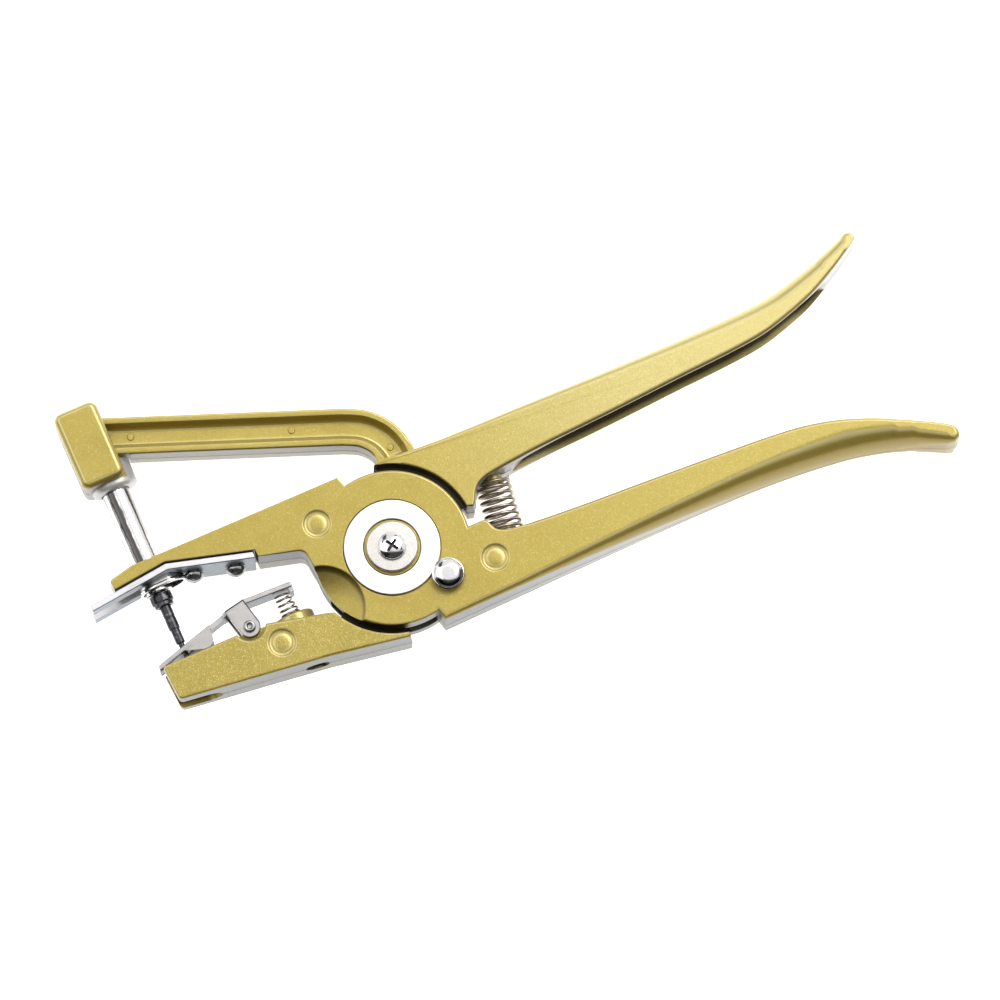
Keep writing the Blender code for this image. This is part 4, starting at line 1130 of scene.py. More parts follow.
def cast_dish(at: Point, side: Side) -> Solid:
    """Cutter for a shallow round mark with a raised centre and soft rims."""
    profile = [(0, -0.22), (1.4, -0.23), (2.0, -0.28), (2.5, -0.42), (2.9, -0.54), (3.3, -0.55),
               (3.7, -0.42), (4.0, -0.20), (4.3, -0.04), (4.6, 0.03), (4.8, 1.0), (0, 1.0)]
    return turned(profile, 48).moved(side.place(at[0], at[1], TOOL.half))


def grip_groove(edge: Sequence[Point], inward: float, x_span: Point, width: float, depth: float) -> Solid:
    """Cutter for the long groove in the inner side of a grip, with rounded rims and run-outs.

    Args:
        edge: Points of the grip's inner side.
        inward: 1 where the grip lies above its inner side, and -1 where it lies below.
        x_span: Where the groove starts and ends.
        width: Across the grip.
        depth: Full depth.

    Returns:
        The cutter.
    """
    half = width / 2
    section = [(half + 0.55, -1.5), (half + 0.4, -0.05), (half + 0.1, 0.18), (half, 0.6),
               (half - 0.3, depth - 0.9), (half - 0.6, depth - 0.35), (half - 1.3, depth)]
    section += [(-z, d) for z, d in reversed(section)]
    rim = sorted((x, y) for x, y in smooth(edge, 6) if x_span[0] <= x <= x_span[1])
    count = len(rim) - 1
    rings = []
    for i, (x, y) in enumerate(rim):
        share = min(i, count - i) / (count / 5)
        rise = 1.0 if share >= 1 else math.sin(share * math.pi / 2)
        rings.append([(x, y + inward * (d if d < 0 else d * rise), z * (0.6 + 0.4 * rise))
                      for z, d in section])
    return Solid().tube(rings).outward()


@dataclass(frozen=True)
class MainFrame:
    """Upper jaw, hub head and lower grip in one casting.

    Attributes:
        jaw_top_y, jaw_nose_x: Top and front end of the jaw.
        rod_x: Where the punch rod passes.
        plate_t, plate_front, plate_bend, plate_rear: Thickness and upper line of the steel plate.
        dishes: Centres of the small round marks on the faces.
        scoop_at, scoop_r, scoop_depth: Place and sizes of the smooth hollow beside the hub.
        groove_x, groove_width, groove_depth: Ends and sizes of the groove in the grip's inner side.
        grip_outer, grip_tip, grip_inner: Outline of the grip.
    """

    jaw_top_y: float = 26.0
    jaw_nose_x: float = -80.8
    rod_x: float = -68.0
    plate_t: float = 2.0
    plate_front: Point = (-88.5, 19.6)
    plate_bend: Point = (-63.2, 22.4)
    plate_rear: Point = (-38.2, 15.35)
    dishes: tuple[Point, ...] = ((-17.5, 15.4), (26.7, -14.9))
    scoop_at: Point = (-26.1, -8.5)
    scoop_r: float = 12.6
    scoop_depth: float = 3.6
    groove_x: Point = (48.0, 151.0)
    groove_width: float = 16.8
    groove_depth: float = 5.0
    grip_outer: tuple[Point, ...] = ((5.7, -26.2), (30, -25.7), (60, -25.3), (90, -25.2), (115, -25.9),
                                     (137, -28.2), (153, -32.4), (163.5, -36.8))
    grip_tip: tuple[Point, ...] = ((165.6, -37.2), (167.6, -36.0), (168.0, -34.0))
    grip_inner: tuple[Point, ...] = ((167.3, -32.6), (164, -30.2), (155, -25.2), (146, -20.7), (136, -17),
                                     (126, -14.7), (115, -13.5), (99, -12.5), (77, -11.3), (55, -10.2),
                                     (40, -9.1))

    def plate_point(self, x: float, lift: float = 0.0) -> Point:
        """A point over the jaw plate's top face."""
        a, b = ((self.plate_front, self.plate_bend) if x < self.plate_bend[0]
                else (self.plate_bend, self.plate_rear))
        return (x, line_y(a, b, x) + lift)

    def plate_normal(self) -> Vector:
        """Direction out of the rear part of the jaw plate's underside."""
        along = (Vector(self.plate_rear) - Vector(self.plate_bend)).normalized()
        return Vector((along.y, -along.x))

    def guide_span(self) -> Point:
        """Where the rod reaches along X at its guide, from rest to fully squeezed."""
        turn = rad(TOOL.squeeze)
        along = (self.jaw_top_y + 1.6 + self.rod_x * math.sin(turn)) / math.cos(turn)
        moved = self.rod_x * math.cos(turn) + along * math.sin(turn)
        return (self.rod_x - PunchRod.radius - PunchRod.room,
                moved + PunchRod.radius / math.cos(turn) + PunchRod.room)

    def guide_slot(self, grown: float, low: float, high: float) -> Solid:
        """An upright bar with the form of the rod's guide, grown on all sides."""
        left, right = self.guide_span()
        outline = obround((right - left) / 2 + grown, PunchRod.radius + PunchRod.room + grown)
        return prism(outline, low, high).moved(stand((0, 1), ((left + right) / 2, 0.0)))

    def outline(self) -> list[EdgePoint]:
        """Counter-clockwise outline from the shoulder under the hub."""
        turn = rad(TOOL.squeeze)
        nose = TOOL.lever_nose
        notch = nose[1] * math.cos(turn) - nose[0] * math.sin(turn) - 1.5 * TOOL.seat_gap
        notch_angle = math.degrees(math.asin(notch / TOOL.hub_r))
        gap = TOOL.seat_gap
        step = self.plate_point(self.plate_rear[0] + 2 * gap, gap)
        low_step = (step[0], step[1] - self.plate_t)
        points = with_edge([polar(TOOL.hub_r, TOOL.shoulder_angle)])
        points += [(x, y, grip_crown(x, 1.5)) for x, y in smooth(self.grip_outer, 10)]
        points += [(x, y, grip_crown(x)) for x, y in smooth(self.grip_tip, 4)]
        points += with_edge(smooth(self.grip_inner, 8), 1.2)
        points += with_edge(smooth([(37.0, -8.8), (33.0, -8.2), (30.4, -6.6), (29.2, notch - 0.9),
                                    (27.8, notch)], 4), 0.7)
        points += with_edge(arc(TOOL.hub_r, notch_angle, TOOL.ledge_angle, 90))
        ledge = [polar(TOOL.hub_r, TOOL.ledge_angle), (-6.4, self.jaw_top_y), (self.rod_x, self.jaw_top_y)]
        points += with_edge(rounded_corner(*ledge, 0.6, 5))
        bevel, nose_y = (self.rod_x - 5.2, self.jaw_top_y), 24.4
        nose = self.plate_point(self.jaw_nose_x + 0.6, gap)
        points += with_edge(rounded_corner(ledge[2], bevel, (self.jaw_nose_x + 0.7, nose_y), 3.0, 6))
        points += with_edge(rounded_corner(bevel, (self.jaw_nose_x + 0.3, nose_y), nose, 1.0, 6))
        points += with_edge([nose, self.plate_point(self.plate_bend[0], gap)], 0.5)
        points += with_edge([step, (low_step[0] + 0.2, low_step[1] - gap)], 0.3)
        points += with_edge(rounded_corner(low_step, (-24.0, 9.4), (-24.1, 4.0), 2.6, 10), 0.7)
        points += with_edge(arc(TOOL.hub_r, 176, TOOL.shoulder_angle, 76)[:-1], 0.7)
        return points

    def scoop(self, side: Side) -> Solid:
        """Cutter for the smooth hollow where the hub meets the throat."""
        r, depth = self.scoop_r, self.scoop_depth
        rows = [(0.0, -depth), (r * 0.3, -depth * 0.97), (r * 0.55, -depth * 0.87),
                (r * 0.72, -depth * 0.74)]
        rows += [(r - 2.0 + 2.0 * math.sin(rad(a)), -0.35 - (depth * 0.62 - 0.35) * math.cos(rad(a)))
                 for a in range(0, 91, 12)]
        rows += [(r + 0.06, -0.25), (r + 0.25, -0.06), (r + 0.6, 0.03), (r + 0.9, 1.5), (0.0, 1.5)]
        return turned(rows, 96).moved(side.place(*self.scoop_at, TOOL.half))

    def ring_recess(self, side: Side) -> Solid:
        """Cutter for the recess that the turned ring lies in, with rounded rims."""
        low, high = -TOOL.ring_sink, 1.0
        inner, outer = TOOL.ring_inner_r - TOOL.seat_gap, TOOL.ring_outer_r + TOOL.seat_gap
        profile = [(inner, low), (outer, low), (outer, -0.25), (outer + 0.1, -0.08), (outer + 0.35, 0.02),
                   (outer + 0.4, high), (inner - 0.35, high), (inner - 0.3, 0.02), (inner - 0.08, -0.08),
                   (inner, -0.25)]
        return turned(profile, 120).moved(side.place(0.0, 0.0, TOOL.half))

    def build(self, shop: Workshop) -> None:
        """Builds and registers the casting."""
        through = (-TOOL.half - TOOL.cut_over, TOOL.half + TOOL.cut_over)
        cuts = [cylinder(TOOL.bore_r, *through, 58)]
        for side in Side:
            cuts += [self.ring_recess(side), self.scoop(side)]
            cuts += [cast_dish(at, side) for at in self.dishes]
        cuts.append(cylinder(TOOL.slot_r, -TOOL.slot_half, TOOL.slot_half, 110)
                    .moved(Matrix.Rotation(rad(2.7), 4, "Z")))
        lever, jaw = TOOL.lever_span, TOOL.jaw_span
        inset, room = TOOL.web_inset, TOOL.sweep_room
        for low, high in ((lever[0] + inset - TOOL.squeeze - room, lever[1] - inset + room),
                          (jaw[0] + inset - TOOL.squeeze - room, jaw[1] - inset + TOOL.drop + room)):
            sector = arc(TOOL.hub_r + 2.5, low, high, 40) + arc(TOOL.slot_r - 3.0, high, low, 40)
            cuts.append(prism(sector, -TOOL.slot_half + 0.02, TOOL.slot_half - 0.02))
        cuts.append(self.guide_slot(BushSizes.wall + TOOL.seat_gap, self.plate_rear[1] - 4,
                                    self.jaw_top_y + 6))
        for x in JawPlate.screw_x:
            hole = cylinder(JawPlate.screw_r + TOOL.seat_gap, -1.0, 4.3, 32)
            cuts.append(hole.moved(stand(-self.plate_normal(), self.plate_point(x))))
        move = Matrix.Translation((*TOOL.button_at, 0.0))
        well_r = LockButton.body_r + TOOL.seat_gap
        for radius, low, high in ((LockButton.stem_r + TOOL.seat_gap, *through),
                                  (well_r, TOOL.half - LockButton.front_well, through[1]),
                                  (well_r, through[0], -TOOL.half + LockButton.back_well)):
            cuts.append(cylinder(radius, low, high, 48).moved(move))
        cuts.append(grip_groove(self.grip_inner, -1.0, self.groove_x, self.groove_width, self.groove_depth))
        seat, peg = TOOL.spring_seat(TOOL.spring_foot, TOOL.spring_axis)
        piece = shop.carve("frame_casting", casting(self.outline(), TOOL.half), cuts=cuts + [seat],
                           pegs=[peg])
        wide, (sx, sy) = self.groove_width / 2 + 0.3, self.scoop_at
        start, end = self.groove_x
        edge = tuple(p for p in self.grip_inner[::-1] if start - 12 < p[0] < end + 6)
        # Painted shade: the grip's groove, the scoop beside the hub, and the slot under the hub's shoulder
        # dimmed to dark grey.
        shaded = (Channel(edge, -1.0, wide, end),
                  Bowl((sx + 3.0, sy - 5.5), (7.5, 17.0), (TOOL.half - 3.7, TOOL.half - 0.25), 19.0),
                  Hollow((-4.0, -27.0, -4.4), (26.0, -17.8, 4.4), 0.15, (0.16, 0.17, 0.18)))
        paint = CastPaint("cast_paint_frame", hollows=shaded, grey_side_end=(128.0, 152.0))
        shop.deliver(piece, paint, Slot.CAST_PAINT, Body.FRAME, "main_frame")


CROWN: tuple[Point, ...] = ((0.0, 0.9), (30.0, 1.3), (60.0, 2.3), (95.0, 3.4), (135.0, 4.9), (155.0, 4.0),
                            (168.0, 2.0))


def grip_crown(x: float, share: float = 1.0) -> float:
    """Rounding of the outer side of a grip, which grows towards its tip."""
    for (x0, r0), (x1, r1) in zip(CROWN, CROWN[1:]):
        if x <= x1:
            return share * (r0 + (r1 - r0) * max(0.0, x - x0) / (x1 - x0))
    return share * CROWN[-1][1]


@dataclass(frozen=True)
class BushSizes:
    """Sizes of the rod's guide bush.

    Attributes:
        wall: Wall of the sleeve.
        flange, flange_t: How far the flange stands out, and its thickness.
    """

    wall: float = 0.5
    flange: float = 0.4
    flange_t: float = 1.3


@dataclass(frozen=True)
class JawPlate:
    """Bent steel plate with a forked tip, its two domed screws and the rod's guide bush.

    Attributes:
        width, fork_width: Widths of the plate and of its fork.
        screw_x, screw_r: Places and radius of the screws.
        head_r, head_h: Radius and height of a screw's head.
        grip: Length of a screw's shank in the jaw.
    """

    width: float = 19.6
    fork_width: float = 8.0
    screw_x: Point = (-55.7, -43.7)
    screw_r: float = 1.9
    head_r: float = 3.0
    head_h: float = 2.7
    grip: float = 3.4

    def build(self, shop: Workshop, frame_part: MainFrame) -> None:
        """Builds the plate, its screws and the bush."""
        t = frame_part.plate_t
        top = [frame_part.plate_front, frame_part.plate_bend, frame_part.plate_rear]
        front, bend, rear = ((x, y - t) for x, y in top)
        outline = (rounded_corner(top[0], front, bend, 0.35, 3) + rounded_corner(front, bend, rear, 3.0, 8)
                   + rounded_corner(bend, rear, top[2], 0.35, 3)
                   + rounded_corner(rear, top[2], top[1], 0.35, 3)
                   + rounded_corner(top[2], top[1], top[0], 1.0, 5)
                   + rounded_corner(top[1], top[0], front, 0.35, 3))
        left, right = frame_part.guide_span()
        middle = (left + right) / 2
        half = self.fork_width / 2
        cuts = [box((frame_part.plate_front[0] - 1, middle), (10, 30), (-half, half)),
                frame_part.guide_slot(BushSizes.wall + TOOL.seat_gap, 10, 30)]
        normal = frame_part.plate_normal()
        for x in self.screw_x:
            hole = cylinder(self.screw_r + TOOL.seat_gap, -1.0, t + 1.0, 32)
            cuts.append(hole.moved(stand(normal, frame_part.plate_point(x))))
        plate = casting(with_edge(outline, 0.3), self.width / 2, 3, 0.0, 0.0)
        piece = shop.carve("fork_plate", plate, cuts=cuts)
        shop.deliver(piece, PlatedSteel(), Slot.STEEL, Body.FRAME, "jaw_plate")
        under = t + TOOL.seat_gap
        for name, x in (("plate_screw_front", self.screw_x[0]), ("plate_screw_rear", self.screw_x[1])):
            r, shank, foot, top_h = self.head_r, self.screw_r, -self.grip, under + self.head_h
            dome = [(r * math.cos(rad(a)) ** 0.8, under + self.head_h * math.sin(rad(a)))
                    for a in range(8, 90, 8)]
            screw = turned([(0, foot), (shank - 0.3, foot), (shank, foot + 0.3), (shank, under),
                            (r - 0.1, under), (r, under + 0.12), *dome, (0, top_h)], 56)
            cross = pocket(cross_outline(r * 0.25, 0.20), [(0.0, top_h - 0.35), (0.0, top_h + 0.5)])
            place = stand(normal, frame_part.plate_point(x))
            cross.moved(place @ Matrix.Rotation(0.5, 4, "Z"))
            piece = shop.carve(name, screw.moved(place), cuts=[cross])
            shop.deliver(piece, BlackOxide("black_nickel", (0.36, 0.37, 0.37), (0.50, 0.50, 0.50), 0.10),
                         Slot.BLACK_STEEL, Body.FRAME, f"jaw_{name}")
        flange_top = min(frame_part.plate_point(x)[1] for x in (left - 1, right + 1)) - t - TOOL.seat_gap
        self.build_bush(shop, frame_part, flange_top)

    def build_bush(self, shop: Workshop, frame_part: MainFrame, flange_top: float) -> None:
        """Flange below the plate and sleeve through the jaw."""
        left, right = frame_part.guide_span()
        length, width = (right - left) / 2, PunchRod.radius + PunchRod.room
        grown = BushSizes.wall + BushSizes.flange
        up = stand((0, 1), ((left + right) / 2, 0.0))
        rows = [(-0.35, 0.0), (-0.1, 0.1), (0.0, 0.35), (0.0, BushSizes.flange_t - 0.35),
                (-0.1, BushSizes.flange_t - 0.1), (-0.35, BushSizes.flange_t)]
        low = flange_top - BushSizes.flange_t
        flange = pocket(obround(length + grown, width + grown), [(g, low + z) for g, z in rows]).moved(up)
        sleeve = prism(obround(length + BushSizes.wall, width + BushSizes.wall), flange_top - 0.65,
                       frame_part.jaw_top_y - 0.6).moved(up)
        bore = prism(obround(length, width), low - 1, frame_part.jaw_top_y + 1).moved(up)
        piece = shop.carve("rod_bush", flange, joins=[sleeve], cuts=[bore])
        shop.deliver(piece, BrightChrome("bush_plate", (0.80, 0.79, 0.77), 0.12), Slot.STEEL, Body.FRAME,
                     "guide_bush")


@dataclass(frozen=True)
class PivotStack:
    """Turned rings, barrel, washer and cross-recess screw on the pivot axis.

    Attributes:
        head_r, head_t: Radius and thickness of the barrel's head.
        screw_r: Radius of the screw's shank.
        screw_head_r, screw_head_h: Radius and height of its head.
    """

    head_r: float = 7.6
    head_t: float = 2.0
    screw_r: float = 1.9
    screw_head_r: float = 4.2
    screw_head_h: float = 2.0

    def build(self, shop: Workshop) -> None:
        """Builds the pieces from the rings to the screw."""
        low, high = -0.5, -0.5 + TOOL.ring_t
        inner, outer = TOOL.ring_inner_r, TOOL.ring_outer_r
        ring = [(inner + 0.15, low), (outer - 0.15, low), (outer, low + 0.15), (outer, high - 0.22),
                (outer - 0.07, high - 0.07), (outer - 0.22, high), (inner + 0.2, high),
                (inner + 0.06, high - 0.06), (inner, high - 0.2), (inner, low + 0.15)]
        for name, side in (("front", Side.FRONT), ("back", Side.BACK)):
            piece = turned(ring, 128).moved(side.place(0.0, 0.0, TOOL.half)).link(f"turned_ring_{name}")
            shop.deliver(piece, TurnedAluminium(), Slot.BARE_ALUMINIUM, Body.FRAME, f"hub_ring_{name}")
        face, half = -TOOL.half - TOOL.seat_gap, TOOL.half
        bore, floor = self.screw_r + TOOL.seat_gap, -TOOL.half + 4.0
        foot = face - self.head_t
        barrel = turned([(0, foot + 0.5), (2.6, foot + 0.5), (3.1, foot), (self.head_r - 0.6, foot),
                         *fillet((self.head_r - 0.6, foot + 0.6), 0.6, -80, 0), (self.head_r, face),
                         (TOOL.barrel_r, face), (TOOL.barrel_r, half), (bore, half), (bore, floor),
                         (0, floor)], 96)
        shop.deliver(barrel.link("pivot_nut"), BrightChrome(), Slot.CHROME, Body.FRAME, "pivot_barrel")
        foot, t, r = half + TOOL.seat_gap, TOOL.washer_t, TOOL.washer_r
        washer = turned([(bore, foot), (r - 0.1, foot), (r, foot + 0.1), (r, foot + t - 0.55),
                         *fillet((r - 0.5, foot + t - 0.5), 0.5, 0, 90), (bore, foot + t)], 112)
        satin = BrightChrome("satin_nickel", (0.64, 0.61, 0.58), 0.26, 0.012, 0.08, 0.86)
        shop.deliver(washer.link("pivot_disc"), satin, Slot.CHROME, Body.FRAME, "pivot_washer")
        under, r, rise = foot + t + TOOL.seat_gap, self.screw_head_r, self.screw_head_h - 0.35
        dome = [(r * math.cos(rad(a)), under + 0.35 + rise * math.sin(rad(a))) for a in range(0, 90, 9)]
        top = under + self.screw_head_h
        screw = turned([(0, floor + 1), (self.screw_r, floor + 1), (self.screw_r, under),
                        (r - 0.15, under), (r, under + 0.15), *dome, (0, top)], 96)
        flare = [(-0.2, top - 2.3), (0.0, top - 0.5), (0.08, top + 0.5)]
        tilt = Matrix.Rotation(rad(33), 4, "Z")
        cross = pocket(cross_outline(2.1, 0.42), flare).moved(tilt)
        piece = shop.carve("pivot_cross_screw", screw, cuts=[cross])
        # Painted shade in the screw's cross recess.
        chrome = BrightChrome("screw_chrome", shade=(2.4, top - 0.42))
        shop.deliver(piece, chrome, Slot.CHROME, Body.FRAME, "pivot_screw")


@dataclass(frozen=True)
class LockButton:
    """Domed push button beside the pivot, with its spring and retaining ring.

    Attributes:
        head_r, head_h, lip_t: Radius and height of the head, and the height of its rim.
        body_r, stem_r: Radii of the button's body and of its stem.
        travel: How far the button goes in.
        neck: Depth of the groove for the retaining ring.
        ring_r, ring_t: Radius and thickness of that ring.
        front_well, back_well: Depths of the frame's bores for the body and for the ring.
    """

    head_r: float = 4.8
    lip_t: float = 0.6
    head_h: float = 2.6
    body_r: float = 3.4
    stem_r: float = 2.3
    travel: float = 1.5
    neck: float = 0.6
    ring_r: float = 3.2
    ring_t: float = 1.0
    front_well: float = 4.2
    back_well: float = 3.0

    def build(self, shop: Workshop) -> None:
        """Builds the button, its ring and its spring."""
        at = Matrix.Translation((*TOOL.button_at, 0.0))
        gap, half = TOOL.seat_gap, TOOL.half
        lip = half - TOOL.ring_sink + gap + TOOL.ring_t + gap + self.travel
        floor = half - self.front_well
        body_foot = floor + self.travel + 1.4
        back = -half + self.back_well - gap
        end = back - self.ring_t - 0.3
        neck = self.stem_r - self.neck
        top, r = lip + self.head_h, self.head_r
        rim = lip + self.lip_t
        dome = [(r * (0.30 + 0.61 * math.cos(rad(a))), rim + 0.25 + (top - rim - 0.25) * math.sin(rad(a)))
                for a in range(0, 91, 9)]
        head = [(r - 0.12, lip), (r, lip + 0.12), (r, rim - 0.12), (r - 0.14, rim), (r * 0.93, rim + 0.05),
                *dome, (0, top)]
        stem, body, ring_foot = self.stem_r, self.body_r, back - self.ring_t
        profile = [(0, end), (stem - 0.2, end), (stem, end + 0.2), (stem, ring_foot), (neck, ring_foot),
                   (neck, back + gap), (stem, back + gap), (stem, body_foot), (body, body_foot),
                   (body, lip), *head]
        button = turned(profile, 88).moved(at).link("domed_button")
        # Painted reflection of a dark crescent on the button's dome.
        chrome = BrightChrome("button_chrome", crescent=True)
        shop.deliver(button, chrome, Slot.CHROME, Body.LOCK_BUTTON, "lock_button")
        low, high = ring_foot + 0.15, back - 0.15
        ring = turned([(neck + 0.15, low), (self.ring_r - 0.1, low), (self.ring_r, low + 0.1),
                       (self.ring_r, high - 0.1), (self.ring_r - 0.1, high), (neck + 0.15, high)], 56)
        shop.deliver(ring.moved(at).link("button_ring"), PlatedSteel(), Slot.STEEL, Body.LOCK_BUTTON,
                     "lock_retaining_ring")
        wire = 0.25
        foot, head_at = floor + gap + wire, body_foot - gap - wire
        coil = CoilSpring("button_coil", radius=self.stem_r + gap + wire + 0.15, top_radius=None, wire=wire,
                          turns=3.0, length=head_at - foot)
        piece = coil.build(at @ Matrix.Translation((0, 0, foot)), shop.finish(SpringWire()))
        shop.deliver(piece, SpringWire(), Slot.SPRING_STEEL, Body.FRAME, "lock_spring", shade=False)
        Springs.world(*TOOL.button_at, foot)
        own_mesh(piece)


@dataclass(frozen=True)
class PunchRod:
    """Bright rod in the hammer block, with the black collar and the stepped tag pin.

    Attributes:
        x, radius, top_y, end_y: Place, radius and ends of the rod.
        room: Gap between the rod and its guide.
        collar_r, collar_h: Radius and height of the collar.
        pin_r, tip_r, pin_end_y: Radii of the pin's two steps, and its end.
    """

    x: float = -68.0
    radius: float = 4.2
    room: float = 0.4
    top_y: float = 68.0
    end_y: float = 16.6
    collar_r: float = 3.4
    collar_h: float = 4.0
    pin_r: float = 1.7
    tip_r: float = 0.9
    pin_end_y: float = -6.0

    def build(self, shop: Workshop) -> None:
        """Builds the rod, the collar and the pin."""
        up = stand((0, 1), (self.x, 0.0))
        thread = self.pin_r + TOOL.seat_gap
        inside = self.end_y + 7.0
        r, foot = self.radius, self.end_y
        rod = turned([(0, inside), (thread, inside), (thread, foot), (r - 0.45, foot),
                      *fillet((r - 0.45, foot + 0.45), 0.45, -70, 0, 4), (r, self.top_y - 0.5),
                      (r - 0.5, self.top_y), (0, self.top_y)], 96)
        # The rod's chrome has a painted reflection of a dark stripe.
        shop.deliver(rod.moved(up).link("hammer_rod"), BrightChrome("rod_chrome", stripe=(-0.62, -0.16)),
                     Slot.CHROME, Body.UPPER_LEVER, "punch_rod")
        top = self.end_y - TOOL.seat_gap
        foot, r = top - self.collar_h, self.collar_r
        collar = turned([(thread, foot), (r - 0.75, foot), (r - 0.5, foot + 0.25), (r - 0.5, foot + 1.1),
                         (r - 0.1, foot + 1.3), (r, foot + 1.5), (r, top - 0.9), (r - 0.12, top - 0.7),
                         (r - 0.12, top - 0.5), (r, top - 0.4), (r - 0.05, top - 0.1), (r - 0.3, top),
                         (thread, top)], 72)
        shop.deliver(collar.moved(up).link("pin_nut"), BlackOxide(), Slot.BLACK_STEEL, Body.UPPER_LEVER,
                     "pin_collar")
        step, end, r, tip = foot - 7.5, self.pin_end_y, self.pin_r, self.tip_r
        pin = turned([(0, end), (tip * 0.45, end + 0.1), (tip * 0.75, end + 0.5), (tip, end + 1.5),
                      (tip, 0.2), (r - 0.4, 0.35), (r - 0.3, 0.6), (r - 0.3, step), (r - 0.1, step + 0.1),
                      (r, step + 0.3), (r, step + 3.6), (r - 0.12, step + 3.75), (r - 0.12, step + 4.0),
                      (r, step + 4.15), (r, inside - TOOL.seat_gap), (0, inside - TOOL.seat_gap)], 56)
        shop.deliver(pin.moved(up).link("stepped_pin"), BlackOxide(), Slot.BLACK_STEEL, Body.UPPER_LEVER,
                     "tag_pin")


@dataclass(frozen=True)
class CoilSpring:
    """A wire spring made by Geometry Nodes: a spiral with closed ends, swept with a round section.

    Attributes:
        name: Name of the object.
        radius, top_radius: Radii at the foot and at the head, the same where it is None.
        wire: Radius of the wire.
        turns: Number of turns.
        length: Length between the wire's ends.
        closed: How strongly the turns close up at the ends.
    """

    name: str
    radius: float
    top_radius: float | None
    wire: float
    turns: float
    length: float
    closed: float = 0.35

    def tree(self) -> bpy.types.NodeTree:
        """Builds the node tree with its named inputs."""
        tree = bpy.data.node_groups.new(self.name + "_tree", "GeometryNodeTree")
        for label in ("Foot Radius", "Head Radius", "Wire Radius", "Turns", "Length", "Closed Ends"):
            tree.interface.new_socket(label, in_out="INPUT", socket_type="NodeSocketFloat")
        tree.interface.new_socket("Metal", in_out="INPUT", socket_type="NodeSocketMaterial")
        tree.interface.new_socket("Geometry", in_out="OUTPUT", socket_type="NodeSocketGeometry")
        g = Graph(tree)
        given = g.add("NodeGroupInput").outputs
        spiral = g.add("GeometryNodeCurveSpiral", {"Resolution": 40, "Rotations": given["Turns"],
                                                   "Start Radius": given["Foot Radius"],
                                                   "End Radius": given["Head Radius"],
                                                   "Height": given["Length"]}).outputs[0]
        place = g.parts(g.add("GeometryNodeInputPosition").outputs[0])
        share = g.math("DIVIDE", place[2], given["Length"])
        eased = g.add("ShaderNodeMapRange", {0: share}, interpolation_type="SMOOTHSTEP").outputs[0]
        blend = g.add("ShaderNodeMix", {0: given["Closed Ends"], 2: share, 3: eased}).outputs[0]
        height = g.math("MULTIPLY", blend, given["Length"])
        spot = g.add("ShaderNodeCombineXYZ", {0: place[0], 1: place[1], 2: height}).outputs[0]
        wound = g.add("GeometryNodeSetPosition", {"Geometry": spiral, "Position": spot}).outputs[0]
        section = g.add("GeometryNodeCurvePrimitiveCircle",
                        {"Resolution": 12, "Radius": given["Wire Radius"]}).outputs[0]
        wire = g.add("GeometryNodeCurveToMesh", {"Curve": wound, "Profile Curve": section,
                                                 "Fill Caps": True}).outputs[0]
        round_wire = g.add("GeometryNodeSetShadeSmooth", {"Geometry": wire}).outputs[0]
        real = g.add("GeometryNodeRealizeInstances", {0: round_wire}).outputs[0]
        metal = g.add("GeometryNodeSetMaterial", {"Geometry": real, "Material": given["Metal"]}).outputs[0]
        g.add("NodeGroupOutput", {0: metal})
        return tree

    def build(self, place: Matrix, metal: bpy.types.Material) -> bpy.types.Object:
        """Runs the tree and stands the spring at its place.

        Args:
            metal: Material of the wire.
            place: Where the foot of the spring is, in the tool frame, with Z along the spring.

        Returns:
            The spring as a plain object.
        """
        shape = Solid()
        shape.ring([(0, 0, 0)])
        thing = shape.link(self.name)
        step = thing.modifiers.new("spring", "NODES")
        step.node_group = self.tree()
        values = {"Foot Radius": self.radius, "Head Radius": self.top_radius or self.radius,
                  "Wire Radius": self.wire, "Turns": self.turns, "Length": self.length,
                  "Closed Ends": self.closed}
        for socket in step.node_group.interface.items_tree:
            if socket.item_type == "SOCKET" and socket.in_out == "INPUT":
                step[socket.identifier] = metal if socket.name == "Metal" else float(values[socket.name])
        graph = bpy.context.evaluated_depsgraph_get()
        mesh = bpy.data.meshes.new_from_object(thing.evaluated_get(graph), depsgraph=graph)
        thing.modifiers.clear()
        thing.data = mesh
        mesh.transform(Matrix.Scale(MM, 4) @ Matrix.Translation((0.0, 0.0, TOOL.mid_z)) @ place)
        return thing


